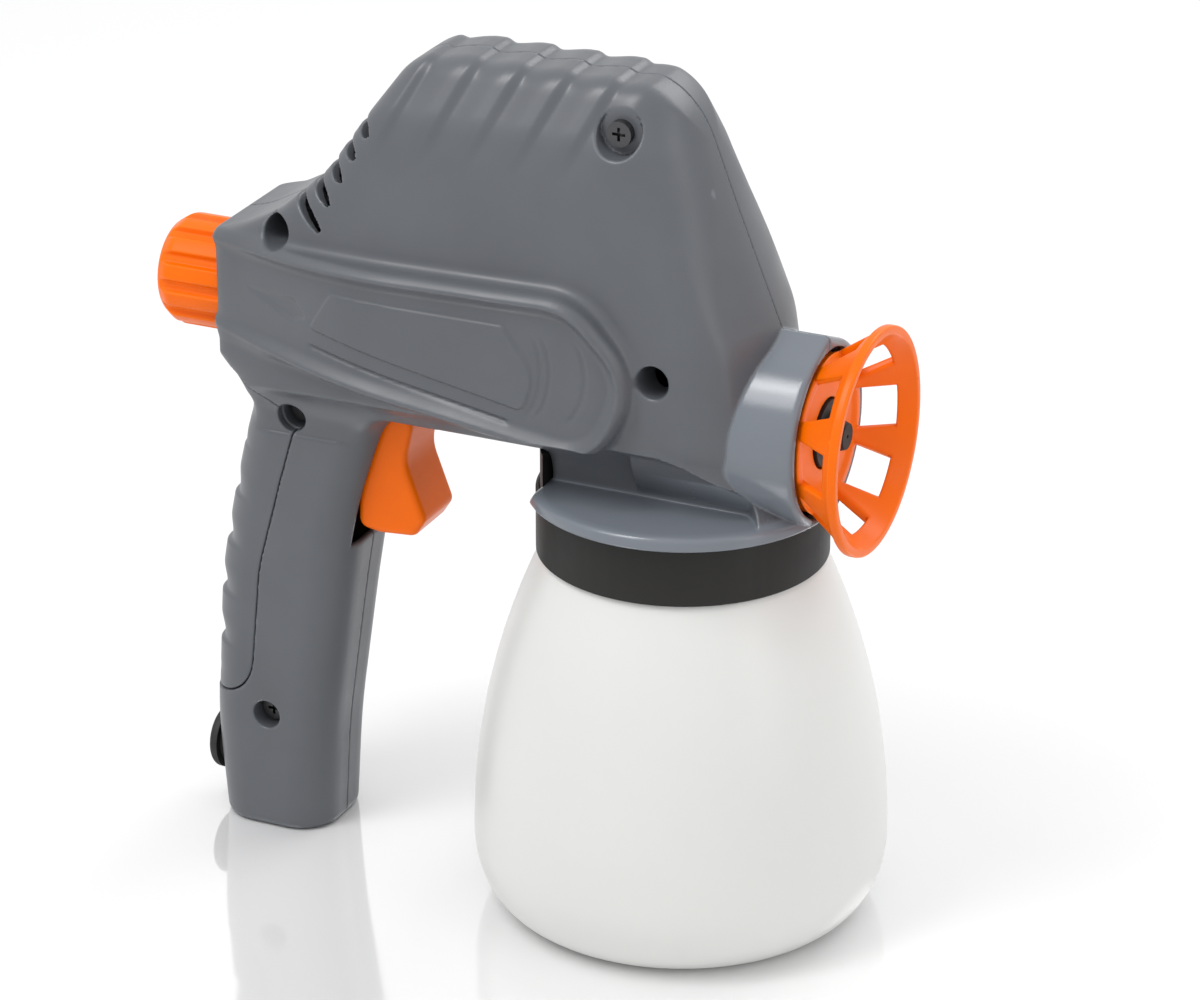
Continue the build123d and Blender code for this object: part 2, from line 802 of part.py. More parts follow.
def make_trigger():
    """Curved finger lever with a forked top that turns on the pin."""
    half = trigger_width / 2
    with BuildPart() as trigger:
        with BuildSketch(Plane.XZ):
            with BuildLine():
                finger = Spline(
                    (trigger_pivot_x + 5.0, pivot_z),
                    (-75.5, floor_z - 10.0),
                    (-77.0, floor_z - 18.0),
                    (-72.2, floor_z - 30.5),
                    (-74.6, floor_z - 36.8),
                    tangents=[(0, -1), (-0.35, -1)],
                )
                Polyline(
                    finger @ 1,
                    (-80.0, floor_z - 38.5),
                    (trigger_rear + 4.0, floor_z - 38.5),
                    (trigger_rear, floor_z - 34.0),
                    (trigger_rear, floor_z - 9.0),
                    (trigger_pivot_x - 5.0, pivot_z),
                )
                ThreePointArc((trigger_pivot_x - 5.0, pivot_z), (trigger_pivot_x, pivot_z + 5.0),
                              (trigger_pivot_x + 5.0, pivot_z))
            make_face()
        extrude(amount=half, both=True)
        add(tube(pivot_pin_radius + running_fit, 0, -half - 1, trigger_width + 2,
                 side_plane(trigger_pivot_x, pivot_z)), mode=Mode.SUBTRACT)
    trigger.part.label = "trigger"
    export_step(trigger.part, "parts/trigger.step")


pin_half = trigger_width / 2 + 5.0


def make_trigger_pin():
    with BuildPart() as trigger_pin:
        add(tube(pivot_pin_radius, 0, -pin_half, 2 * pin_half, side_plane(trigger_pivot_x, pivot_z)))
    trigger_pin.part.label = "trigger_pin"
    export_step(trigger_pin.part, "parts/trigger_pin.step")


def make_trigger_spring():
    spring = coil_spring(3.0, 0.45, trigger_spring_seat, trigger_rear - trigger_spring_seat, 5,
                         trigger_spring_z)
    with BuildPart() as trigger_spring:
        add(spring)
    trigger_spring.part.label = "trigger_spring"
    export_step(trigger_spring.part, "parts/trigger_spring.step")


plunger_travel = (pivot_z - switch_z) * radians(trigger_angle)
plunger_length = 12.0


def make_switch_plunger():
    with BuildPart() as switch_plunger:
        add(tube(plunger_radius, 0, plunger_front - plunger_length, plunger_length,
                 front_plane(switch_z)))
        fillet(switch_plunger.edges().filter_by(GeomType.CIRCLE).sort_by(Axis.X)[-1], 0.8)
    switch_plunger.part.label = "switch_plunger"
    export_step(switch_plunger.part, "parts/switch_plunger.step")


def make_micro_switch():
    bore_depth = plunger_front - plunger_length - plunger_travel - body_gap
    with BuildPart() as micro_switch:
        add(box(switch_rear, switch_front, -6.0, 6.0, switch_z - switch_half_height,
                switch_z + switch_half_height))
        fillet(micro_switch.edges().filter_by(Axis.Y), 0.8)
        add(tube(plunger_radius + running_fit, 0, bore_depth, switch_front - bore_depth + 1,
                 front_plane(switch_z)), mode=Mode.SUBTRACT)
        for side in (-3.0, 3.0):
            add(box(switch_rear - 4.0, switch_rear, side - 1.5, side + 1.5, switch_z - 0.4,
                    switch_z + 0.4))
    micro_switch.part.label = "micro_switch"
    export_step(micro_switch.part, "parts/micro_switch.step")


# ------------------------------------------------------------------ mains inlet

gland_z = 17.0
gland_radius = 7.0
cord_bore = 3.6
gland_outer_x = -141.5
grip_rear_x = grip_centre - (grip_depth - 3.6 + grip_foot_depth) / 4


def make_cord_gland():
    """Rubber gland through the lower rear wall, with flanges inside and outside."""
    inner_x = grip_rear_x + wall + 2.6
    with BuildPart() as cord_gland:
        add(tube(gland_radius, 0, gland_outer_x + 1.5, inner_x - gland_outer_x - 1.5,
                 front_plane(gland_z)))
        add(tube(gland_radius + 2.0, 0, gland_outer_x, grip_rear_x - gland_outer_x - 1.6,
                 front_plane(gland_z)))
        fillet(cord_gland.edges().filter_by(GeomType.CIRCLE).sort_by(Axis.X)[0], 1.8)
        add(tube(gland_radius + 1.8, 0, inner_x, 1.6, front_plane(gland_z)))
        add(tube(cord_bore, 0, gland_outer_x - 1, 40.0, front_plane(gland_z)), mode=Mode.SUBTRACT)
    cord_gland.part.label = "cord_gland"
    export_step(cord_gland.part, "parts/cord_gland.step")


clamp_z = 50.0
clamp_x = -116.0
clamp_half = 9.0
clamp_floor = 2.0  # the clamp's seat, left of the parting plane


def make_cord_clamp():
    """Bridge that two screws pull onto the mains lead inside the grip."""
    with BuildPart() as cord_clamp:
        add(box(clamp_x - clamp_half, clamp_x + clamp_half, clamp_floor - 6.0, clamp_floor,
                clamp_z - 3.0, clamp_z + 3.0))
        add(tube(cord_bore, 0, clamp_z - 4.0, 8.0,
                 Plane.XY.shift_origin((clamp_x, clamp_floor, 0))), mode=Mode.SUBTRACT)
        for side in (-6.0, 6.0):
            add(tube(1.4, 0, -20.0, 40.0, side_plane(clamp_x + side, clamp_z)), mode=Mode.SUBTRACT)
    cord_clamp.part.label = "cord_clamp"
    export_step(cord_clamp.part, "parts/cord_clamp.step")


def make_cord_clamp_screws():
    with BuildPart() as cord_clamp_screws:
        for side in (-6.0, 6.0):
            plane = side_plane(clamp_x + side, clamp_z)
            add(tube(1.35, 0, clamp_floor - 6.0, 12.0, plane))
            add(tube(2.6, 0, clamp_floor - 7.6, 1.6, plane))
    cord_clamp_screws.part.label = "cord_clamp_screws"
    export_step(cord_clamp_screws.part, "parts/cord_clamp_screws.step")


block_z = 74.0
block_x = -114.0


def make_terminal_block():
    """Two-way screw terminal that joins the lead to the switch and the coil."""
    with BuildPart() as terminal_block:
        add(box(block_x - 8.0, block_x + 8.0, -5.5, 5.5, block_z - 9.0, block_z + 9.0))
        fillet(terminal_block.edges().filter_by(Axis.Z), 1.0)
        with Locations((block_x, 0, block_z)):
            with GridLocations(8.0, 1.0, 2, 1):
                Cylinder(2.0, 20.0, mode=Mode.SUBTRACT)
        with Locations((block_x, 0, block_z + 9.0)):
            Box(1.2, 12.0, 5.0, mode=Mode.SUBTRACT)
    terminal_block.part.label = "terminal_block"
    export_step(terminal_block.part, "parts/terminal_block.step")


# ------------------------------------------------------------------ housing


def make_shell():
    """Both halves of the clamshell before they are split and given their bosses."""
    outer_grip = grip_solid(0.0)
    inner_grip = grip_solid(wall, wall)
    strap_seat = grip_solid(strap_thickness + seat_fit, strap_thickness)
    strap_wall = grip_solid(strap_thickness + wall, strap_thickness)
    rear_zone = strap_zone()
    lean_cavity = strap_wall & rear_zone
    front_cavity = inner_grip - rear_zone
    body = body_solid(0.0)
    strap_cut = ((outer_grip - strap_seat) & rear_zone) - body
    body_cavity = body_solid(wall)
    pod = pod_solid(0.0)
    pod_cavity = pod_solid(wall)
    neck = neck_solid(0.0, collar_top + skirt_ledge - 1, axis_z)
    neck_cavity = neck_solid(wall, collar_top - 1, axis_z)
    with BuildPart() as outside:
        add(body)
        add(pod)
        add(outer_grip)
        add(neck)
        add(tube(skirt_radius, 0, collar_top - skirt_lip, skirt_lip + skirt_ledge, Plane.XY))
        add(tube(barrel_radius, 0, 0.0, barrel_front, front_plane(axis_z)))
    with BuildPart() as shell:
        add(outside.part)
        add(strap_cut, mode=Mode.SUBTRACT)
        add(body_cavity, mode=Mode.SUBTRACT)
        add(pod_cavity, mode=Mode.SUBTRACT)
        add(front_cavity, mode=Mode.SUBTRACT)
        add(lean_cavity, mode=Mode.SUBTRACT)
        add(neck_cavity, mode=Mode.SUBTRACT)
        add(tube(pump_radius + loose_gap, 0, pump_rear - loose_gap, 0.5 - pump_rear,
                 front_plane(axis_z)), mode=Mode.SUBTRACT)
        add(tube(barrel_radius - wall, 0, 0.0, 2 * skirt_radius, front_plane(axis_z)),
            mode=Mode.SUBTRACT)
        # Room for the collar inside the skirt
        add(tube(skirt_radius - wall, 0, collar_top - barrel_radius, barrel_radius, Plane.XY),
            mode=Mode.SUBTRACT)
        # The black drum shows at the back of the neck
        with BuildSketch(Plane.XY.offset(collar_top - skirt_lip - 1)):
            with Locations((-skirt_radius, 0)):
                Rectangle(2 * (skirt_radius + notch_x), 2 * skirt_radius)
        extrude(amount=drum_height + skirt_lip + 1 - body_gap, mode=Mode.SUBTRACT)
        # Trigger slot
        add(box(trigger_rear - 9.0, -66.0, -trigger_width / 2 - loose_gap,
                trigger_width / 2 + loose_gap, floor_z - 43.0, floor_z + wall + 1),
            mode=Mode.SUBTRACT)
        # Knob bush and cord gland holes
        add(tube(bush_radius + seat_fit, 0, body_rear - 1, wall + 2, front_plane(knob_z)),
            mode=Mode.SUBTRACT)
        add(tube(gland_radius + seat_fit, 0, body_rear - 20, 30.0, front_plane(gland_z)),
            mode=Mode.SUBTRACT)
    return shell.part


vent_count = 5
vent_pitch = 6.8
vent_width = 2.4
vent_half_length = 17.5
scallop_count = 5
scallop_pitch = 13.5
scallop_radius = 9.0
scallop_depth = 1.2


def make_vent_cuts():
    """Slots across the rear slope that let the coil's heat out."""
    with BuildPart() as cuts:
        for index in range(vent_count):
            step = (index - (vent_count - 1) / 2) * vent_pitch
            plane = Plane(origin=(-93.0, 0, crown_z - 29.0), x_dir=(0, 1, 0), z_dir=(-1, 0, 1))
            with BuildSketch(plane.offset(-6.0)):
                with Locations((0, step)):
                    SlotOverall(2 * vent_half_length, vent_width)
            extrude(amount=14.0)
        for index in range(scallop_count):
            x = -66.0 + index * scallop_pitch
            add(tube(scallop_radius, 0, -crown_half_width - 1, 2 * crown_half_width + 2,
                     side_plane(x, crown_z + scallop_radius - scallop_depth)))
    return cuts.part


def half_details(side):
    """Screw pillars, pin sockets and ribs on one side of the parting plane."""
    reach = 40.0
    pillar_radius = screw_radius + running_fit + boss_wall + 0.8
    with BuildPart() as details:
        for x, z, recess_radius, recess_floor in screw_places:
            plane = side_plane(x, z)
            add(tube(pillar_radius, 0, 0, side * reach, plane))
            if side < 0:
                add(tube(recess_radius + boss_wall, 0, 2 - recess_floor, -reach, plane))
        pin_plane = side_plane(trigger_pivot_x, pivot_z)
        add(tube(pivot_pin_radius + 2.4, 0, side * (trigger_width / 2 + body_gap),
                 side * reach, pin_plane))
        hang_plane = side_plane(armature_pivot_x, armature_pivot_z)
        add(tube(armature_pin_radius + 2.2, 0, side * (armature_width / 2 + body_gap),
                 side * reach, hang_plane))
        if side > 0:
            for x, z in core_screw_places:
                add(tube(4.5, 0, core_width / 2, reach, side_plane(x, z)))
        # Ribs beside the rear ends of the core's legs
        for z in (core_bottom + leg_height / 2, core_top - leg_height / 2):
            add(box(core_rear + 4, core_rear + 6, min(side * core_width / 2, side * reach),
                    max(side * core_width / 2, side * reach), z - leg_height / 2,
                    z + leg_height / 2))
        # Ribs that clamp the pump block
        for x in (pump_rear + 5.0, pump_rear + 38.0):
            add(box(x, x + 2.0, min(side * pump_radius, side * reach),
                    max(side * pump_radius, side * reach), floor_z + 1.0, axis_z))
    return details.part


def half_cuts(side):
    """Screw holes, recesses and pin sockets on one side of the parting plane."""
    with BuildPart() as cuts:
        for x, z, recess_radius, recess_floor in screw_places:
            plane = side_plane(x, z)
            if side < 0:
                add(tube(screw_radius + 0.2, 0, -50, 60, plane))
                add(tube(recess_radius, 0, -60, 60 - recess_floor, plane))
            else:
                add(tube(screw_radius + seat_fit, 0, -1, 13.0, plane))
        add(tube(pivot_pin_radius + seat_fit, 0, -pin_half - 0.1, 2 * pin_half + 0.2,
                 side_plane(trigger_pivot_x, pivot_z)))
        add(tube(armature_pin_radius + seat_fit, 0, -armature_pin_half - 0.1,
                 2 * armature_pin_half + 0.2, side_plane(armature_pivot_x, armature_pivot_z)))
        for x, z in core_screw_places:
            add(tube(screw_radius + seat_fit, 0, core_width / 2 - 1, 8.0, side_plane(x, z)))
    return cuts.part


def make_housing():
    shell = make_shell() - make_vent_cuts()
    envelope = body_solid(0.6) + pod_solid(0.6) + grip_solid(0.6, 0.6) - strap_zone()
    for side, name in ((-1, "housing_right"), (1, "housing_left")):
        keep = Keep.BOTTOM if side < 0 else Keep.TOP
        details = half_details(side) & envelope
        with BuildPart() as half:
            add(shell)
            split(bisect_by=Plane.XZ.rotated((180, 0, 0)), keep=keep)
            add(details)
            add(half_cuts(side), mode=Mode.SUBTRACT)
        half.part.label = name
        export_step(half.part, "parts/" + name + ".step")


def make_grip_backstrap():
    outer = grip_solid(0.0)
    inner = grip_solid(strap_thickness, strap_thickness)
    with BuildPart() as grip_backstrap:
        add((outer - inner) & strap_zone())
        add(body_solid(0.0), mode=Mode.SUBTRACT)
    grip_backstrap.part.label = "grip_backstrap"
    export_step(grip_backstrap.part, "parts/grip_backstrap.step")


def make_housing_screws():
    with BuildPart() as housing_screws:
        for x, z, _, recess_floor in screw_places:
            plane = side_plane(x, z)
            add(tube(screw_radius, 0, -recess_floor, recess_floor + 11.0, plane))
            add(tube(screw_head_radius, 0, -recess_floor - screw_head_height, screw_head_height,
                     plane))
            with BuildSketch(plane.offset(-recess_floor - screw_head_height)):
                Rectangle(3.6, 0.8)
                Rectangle(0.8, 3.6)
            extrude(amount=1.4, mode=Mode.SUBTRACT)
    housing_screws.part.label = "housing_screws"
    export_step(housing_screws.part, "parts/housing_screws.step")


def make_core_screws():
    with BuildPart() as core_screws:
        for x, z in core_screw_places:
            plane = side_plane(x, z)
            add(tube(screw_radius, 0, -core_width / 2, core_width + 6.0, plane))
            add(tube(screw_head_radius, 0, -core_width / 2 - screw_head_height,
                     screw_head_height, plane))
    core_screws.part.label = "core_screws"
    export_step(core_screws.part, "parts/core_screws.step")


# ------------------------------------------------------------------ build everything

make_jar()
make_jar_seal()
make_pump_housing()
make_pump_liner()
make_piston()
make_piston_spring()
make_suction_tube()
make_suction_strainer()
make_return_tube()
make_outlet_valve_seat()
make_valve_ball()
make_valve_spring()
make_nozzle_insert()
make_nozzle_ring()
make_spray_guard()
make_stator_core()
make_coil_bobbin()
make_coil_winding()
make_armature()
make_armature_pin()
make_knob_bush()
make_control_knob()
make_adjuster_spindle()
make_spindle_buffer()
make_trigger()
make_trigger_pin()
make_trigger_spring()
make_switch_plunger()
make_micro_switch()
make_cord_gland()
make_cord_clamp()
make_cord_clamp_screws()
make_terminal_block()
make_housing()
make_grip_backstrap()
make_housing_screws()
make_core_screws()
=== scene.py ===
import math

import bpy
import numpy as np
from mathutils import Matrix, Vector


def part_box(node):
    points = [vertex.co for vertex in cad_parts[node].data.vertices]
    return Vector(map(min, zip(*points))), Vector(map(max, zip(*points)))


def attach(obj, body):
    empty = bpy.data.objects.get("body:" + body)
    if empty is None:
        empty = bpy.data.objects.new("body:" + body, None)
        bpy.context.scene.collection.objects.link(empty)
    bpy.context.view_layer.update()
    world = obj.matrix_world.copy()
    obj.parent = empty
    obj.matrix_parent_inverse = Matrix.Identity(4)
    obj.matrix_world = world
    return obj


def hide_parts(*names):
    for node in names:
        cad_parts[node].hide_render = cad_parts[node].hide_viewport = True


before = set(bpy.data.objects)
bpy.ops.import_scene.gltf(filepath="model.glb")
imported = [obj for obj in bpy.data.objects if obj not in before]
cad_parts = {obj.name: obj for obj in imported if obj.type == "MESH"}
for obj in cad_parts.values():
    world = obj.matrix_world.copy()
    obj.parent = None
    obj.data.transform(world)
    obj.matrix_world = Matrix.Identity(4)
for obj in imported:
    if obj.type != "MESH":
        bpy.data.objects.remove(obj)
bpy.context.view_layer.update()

# Handheld airless paint sprayer. The moulded parts are distance fields in millimetres, meshed
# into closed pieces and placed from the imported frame. The machined parts inside stay as packed.

MM = 0.001


# ------------------------------------------------------------------ places from the frame


def node_box(name):
    """Lowest and highest corner of a CAD node, in millimetres."""
    low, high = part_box(name)
    return np.array(low) / MM, np.array(high) / MM


def node_middle(name):
    """Centre of a CAD node's box, in millimetres."""
    low, high = node_box(name)
    return (low + high) / 2


crown_z = node_box("housing_right")[1][2]
axis_z = node_middle("pump_liner")[2]
knob_z = node_middle("control_knob")[2]
floor_z = axis_z - 9.9  # the body's underside
collar_top = floor_z - 11.5
jar_radius = node_box("jar")[1][0]
jar_top = node_box("jar")[1][2]
jar_shoulder = node_box("pump_housing")[0][2] - 0.35

cell = 0.62  # grid step of the meshed fields
most_faces = 190000  # triangles a piece may have before it is thinned


# ------------------------------------------------------------------ field tools


def smooth_max(a, b, k):
    """Intersection with a rounded edge about k wide."""
    h = np.maximum(k - np.abs(a - b), 0.0)
    return np.maximum(a, b) + h * h / (4 * k)


def smooth_min(a, b, k):
    """Union with a fillet about k wide."""
    return -smooth_max(-a, -b, k)


def ramp(start, end, value):
    """0 before start, 1 after end, smooth between."""
    t = np.clip((value - start) / (end - start), 0.0, 1.0)
    return t * t * (3 - 2 * t)


def rounded(corners, steps=10):
    """Outline through corners (u, v, radius), each rounded by an arc."""
    points = []
    count = len(corners)
    for i, (u, v, radius) in enumerate(corners):
        here = np.array((u, v), float)
        if radius <= 0:
            points.append(here)
            continue
        before = np.array(corners[i - 1][:2], float) - here
        after = np.array(corners[(i + 1) % count][:2], float) - here
        reach_before, reach_after = np.linalg.norm(before), np.linalg.norm(after)
        before, after = before / reach_before, after / reach_after
        half = math.acos(np.clip(np.dot(before, after), -1, 1)) / 2
        cut = min(radius / math.tan(half), 0.48 * reach_before, 0.48 * reach_after)
        for t in np.linspace(0, 1, steps):
            points.append(
                here + before * cut * (1 - t) ** 2 + after * cut * t**2
            )
    return np.array(points)


def outline_field(points, spacing=0.5, margin=26.0):
    """Signed distance to a closed outline, tabulated once and read back bilinearly."""
    low = points.min(0) - margin
    size = np.ceil((points.max(0) + margin - low) / spacing).astype(int) + 1
    u, v = np.meshgrid(*(low[i] + spacing * np.arange(size[i]) for i in (0, 1)), indexing="ij")
    best = np.full(u.shape, 1e12)
    inside = np.zeros(u.shape, bool)
    for start, end in zip(points, np.roll(points, -1, 0)):
        edge = end - start
        wu, wv = u - start[0], v - start[1]
        t = np.clip((wu * edge[0] + wv * edge[1]) / (edge @ edge + 1e-12), 0, 1)
        best = np.minimum(best, (wu - t * edge[0]) ** 2 + (wv - t * edge[1]) ** 2)
        crosses = (start[1] > v) != (end[1] > v)
        slope = edge[0] / edge[1] if edge[1] else 0.0
        inside ^= crosses & (wu < slope * wv)
    table = (np.sqrt(best) * np.where(inside, -1, 1)).astype(np.float32)

    def read(at_u, at_v):
        fu = np.clip((at_u - low[0]) / spacing, 0, size[0] - 1.01)
        fv = np.clip((at_v - low[1]) / spacing, 0, size[1] - 1.01)
        iu, iv = fu.astype(np.int32), fv.astype(np.int32)
        fu, fv = fu - iu, fv - iv
        first = table[iu, iv] * (1 - fu) + table[iu + 1, iv] * fu
        second = table[iu, iv + 1] * (1 - fu) + table[iu + 1, iv + 1] * fu
        return first * (1 - fv) + second * fv

    return read


# ------------------------------------------------------------------ from field to mesh


def sample_grid(field, low, shape, step):
    """Field values on a grid, worked out only near the surface."""
    block = 6
    blocks = -(-shape // block)
    centres = np.stack(np.meshgrid(*(np.arange(n) for n in blocks), indexing="ij"), -1)
    centres = centres.reshape(-1, 3)
    middle = low + (centres * block + (block - 1) / 2) * step
    coarse = field(*middle.T.astype(np.float32))
    values = np.repeat(np.repeat(np.repeat(coarse.reshape(blocks), block, 0), block, 1), block, 2)
    values = values.astype(np.float32)
    near = centres[np.abs(coarse) < block * step * 1.35 + 1.0]
    offsets = np.stack(np.meshgrid(*(np.arange(block),) * 3, indexing="ij"), -1).reshape(-1, 3)
    for part in np.array_split(near, max(1, len(near) // 900)):
        index = (part[:, None, :] * block + offsets[None]).reshape(-1, 3)
        at = (low + index * step).astype(np.float32)
        values[tuple(index.T)] = field(*at.T)
    return values[: shape[0], : shape[1], : shape[2]]


def surface_net(field, low, high, step):
    """Closed quad mesh of field = 0: one vertex in each cell that the surface crosses."""
    low = np.array(low, float) - 1.5 * step
    shape = np.ceil((np.array(high) - low) / step).astype(int) + 3
    values = sample_grid(field, low, shape, step)
    inside = values < 0
    cells = tuple(shape - 1)
    corners = [(i, j, k) for i in (0, 1) for j in (0, 1) for k in (0, 1)]
    count = np.zeros(cells, np.uint8)
    for i, j, k in corners:
        count += inside[i : i + cells[0], j : j + cells[1], k : k + cells[2]]
    active = np.argwhere((count > 0) & (count < 8))
    corner_values = [values[tuple((active + corner).T)] for corner in corners]
    total = np.zeros((len(active), 3))
    hits = np.zeros(len(active))
    for a, first in enumerate(corners):
        for b, second in enumerate(corners):
            if b <= a or sum(abs(p - q) for p, q in zip(first, second)) != 1:
                continue
            va, vb = corner_values[a], corner_values[b]
            crossed = (va < 0) != (vb < 0)
            t = np.where(crossed, va / np.where(crossed, va - vb, 1), 0)
            spot = np.array(first) + t[:, None] * (np.array(second) - np.array(first))
            total += np.where(crossed[:, None], spot, 0)
            hits += crossed
    vertices = low + (active + total / hits[:, None]) * step
    number = np.full(cells, -1, np.int32)
    number[tuple(active.T)] = np.arange(len(active))
    quads = []
    for axis in range(3):
        side_a, side_b = [(1, 2), (2, 0), (0, 1)][axis]
        here = inside[tuple(slice(0, -1) if d == axis else slice(None) for d in range(3))]
        there = inside[tuple(slice(1, None) if d == axis else slice(None) for d in range(3))]
        edges = np.argwhere(here != there)
        inner = np.ones(len(edges), bool)
        for d in (side_a, side_b):
            inner &= (edges[:, d] > 0) & (edges[:, d] < cells[d])
        edges = edges[inner]
        ring = []
        for da, db in ((1, 1), (0, 1), (0, 0), (1, 0)):
            shifted = edges.copy()
            shifted[:, side_a] -= da
            shifted[:, side_b] -= db
            ring.append(number[tuple(shifted.T)])
        ring = np.stack(ring, 1)
        flip = ~here[tuple(edges.T)]
        ring[flip] = ring[flip][:, ::-1]
        quads.append(ring)
    return vertices, np.concatenate(quads)


def gradient(field, points, reach):
    """Central-difference gradient of the field."""
    points = points.astype(np.float32)
    result = np.empty((len(points), 3), np.float32)
    for axis in range(3):
        step = np.zeros(3, np.float32)
        step[axis] = reach
        result[:, axis] = field(*(points + step).T) - field(*(points - step).T)
    return result / (2 * reach)


def new_mesh(name, vertices, faces):
    """Mesh object from millimetre vertices."""
    mesh = bpy.data.meshes.new(name)
    mesh.from_pydata((np.asarray(vertices) * MM).tolist(), [], [list(f) for f in faces])
    mesh.update()
    piece = bpy.data.objects.new(name, mesh)
    bpy.context.scene.collection.objects.link(piece)
    return piece


def sculpt(name, field, low, high, step=cell):
    """A closed piece meshed from a distance field, with its vertices drawn onto the surface."""
    vertices, quads = surface_net(field, low, high, step)
    piece = new_mesh(name, vertices, quads)
    if 2 * len(quads) > most_faces:
        slim = piece.modifiers.new("slim", "DECIMATE")
        slim.ratio = most_faces / (2 * len(quads))
        depsgraph = bpy.context.evaluated_depsgraph_get()
        mesh = bpy.data.meshes.new_from_object(piece.evaluated_get(depsgraph))
        piece.modifiers.clear()
        old = piece.data
        piece.data = mesh
        bpy.data.meshes.remove(old)
    mesh = piece.data
    points = np.empty(len(mesh.vertices) * 3, np.float32)
    mesh.vertices.foreach_get("co", points)
    points = points.reshape(-1, 3) / MM
    for _ in range(3):
        slope = gradient(field, points, 0.08)
        size = np.maximum((slope**2).sum(1), 0.25)
        move = -(field(*points.T) / size)[:, None] * slope
        length = np.linalg.norm(move, axis=1, keepdims=True)
        points = points + move * np.minimum(1, 0.5 * step / np.maximum(length, 1e-9))
    mesh.vertices.foreach_set("co", (points * MM).astype(np.float32).ravel())
    mesh.update()
    normals = gradient(field, points, 0.18)
    normals /= np.maximum(np.linalg.norm(normals, axis=1, keepdims=True), 1e-9)
    faced = np.empty(len(mesh.vertices) * 3, np.float32)
    mesh.vertices.foreach_get("normal", faced)
    faced = faced.reshape(-1, 3)
    astray = (normals * faced).sum(1) < 0.4
    normals[astray] = faced[astray]
    mesh.shade_smooth()
    mesh.normals_split_custom_set_from_vertices(normals.tolist())
    return piece


# ------------------------------------------------------------------ housing shape

wall = 2.4
body_rear = -128.3
skirt_rear = -62.0  # the skirt and the room under it end here
neck_half_width = 18.0
pillar_radius = 4.6
recess_wall = 1.4
screw_hole_radius = 1.95
bush_hole_radius = 6.02
gland_z = 17.0
gland_hole_radius = 7.02
strap_seat_depth = 3.1
strap_thickness = 2.9
trigger_slot_half_width = 10.3
pump_half_width = 15.6
half_gap = 0.06  # each half stays this far from the parting plane
barrel_radius = 24.8
barrel_front = 40.6
barrel_ridge = math.radians(23.3)  # the barrel's roof: two flats that meet in a ridge
skirt_radius = 41.8
ledge_top = collar_top + 2.4
skirt_bottom = collar_top - 1.3

side_outline = outline_field(rounded([
    (body_rear, floor_z + 11.0, 3.0),
    (body_rear, knob_z + 18.5, 2.0),
    (-108.0, crown_z - 46.5, 26.0),
    (-94.0, crown_z - 34.0, 30.0),
    (-66.0, crown_z + 9.0, 3.0),
    (-2.0, crown_z + 10.0, 2.0),
    (14.5, crown_z - 33.0, 30.0),
    (27.5, crown_z - 65.0, 30.0),
    (31.5, axis_z, 10.0),
    (30.0, floor_z - 1.0, 3.0),
    (-78.0, floor_z - 1.0, 30.0),
    (-100.0, floor_z - 3.0, 10.0),
    (-115.5, floor_z - 2.5, 4.0),
]))

section_outline = outline_field(rounded([
    (-40.0, crown_z + 0.2, 0.0),
    (12.3, crown_z - 0.4, 9.0),
    (20.4, crown_z - 15.0, 20.0),
    (28.4, crown_z - 48.0, 60.0),
    (29.8, axis_z, 14.0),
    (22.5, floor_z - 5.0, 3.0),
    (-40.0, floor_z - 5.0, 0.0),
]))

plan_outline = outline_field(rounded([
    (-128.5, -40.0, 0.0),
    (-128.5, 21.2, 2.0),
    (-74.0, 29.6, 70.0),
    (14.0, 30.2, 14.0),
    (36.0, 25.0, 8.0),
    (40.0, -40.0, 0.0),
]))

pod_outline = outline_field(rounded([
    (-150.0, knob_z - 4.5, 0.0),
    (-60.0, axis_z + 0.2, 40.0),
    (-9.5, axis_z - 6.5, 24.0),
    (1.0, axis_z + 19.0, 34.0),
    (-16.5, axis_z + 39.0, 20.0),
    (-150.0, knob_z + 20.5, 0.0),
]))

pad_outline = outline_field(rounded([
    (-87.0, knob_z + 12.8, 1.0),
    (-94.0, knob_z + 2.0, 1.0),
    (-31.0, knob_z - 9.5, 3.0),
    (-27.5, knob_z + 1.0, 16.0),
    (-36.5, knob_z + 13.0, 2.0),
]), spacing=0.3, margin=10.0)

leaf_outline = outline_field(rounded([
    (-118.0, knob_z + 8.0, 1.0),
    (-99.0, knob_z + 9.0, 3.0),
    (-95.5, knob_z + 3.5, 1.0),
    (-100.0, knob_z + 2.0, 3.0),
]), spacing=0.3, margin=10.0)

strap_outline = outline_field(rounded([
    (-105.0, floor_z - 5.5, 1.0),
    (-111.3, floor_z - 25.5, 40.0),
    (-118.8, floor_z - 52.0, 60.0),
    (-123.0, 40.0, 14.0),
    (-160.0, 36.5, 0.0),
    (-160.0, floor_z + 10.0, 0.0),
    (-123.0, floor_z + 8.0, 12.0),
]))

# Screws on the right side: x, z, radius of the recess, distance of its foot from the middle
screw_places = [
    (-11.0, crown_z - 12.2, 6.0, 15.0),
    (-106.7, knob_z + 24.5, 4.0, 9.0),
    (3.2, axis_z + 18.0, 4.4, 9.0),
    (-106.6, floor_z - 4.7, 4.0, 9.0),
    (-118.4, 35.0, 4.0, 9.0),
]

scallop_pitch = 13.0
scallop_places = [-67.0, -54.0, -41.0, -28.0, -15.0]  # x at the crown
scallop_depth = 1.1
scallop_lean = 0.45  # how far a scallop runs back for each millimetre down
arc_places = [(-26.0, 15.5), (-23.4, 15.5), (-13.5, 13.0)]  # foremost x and radius
line_width = 0.6


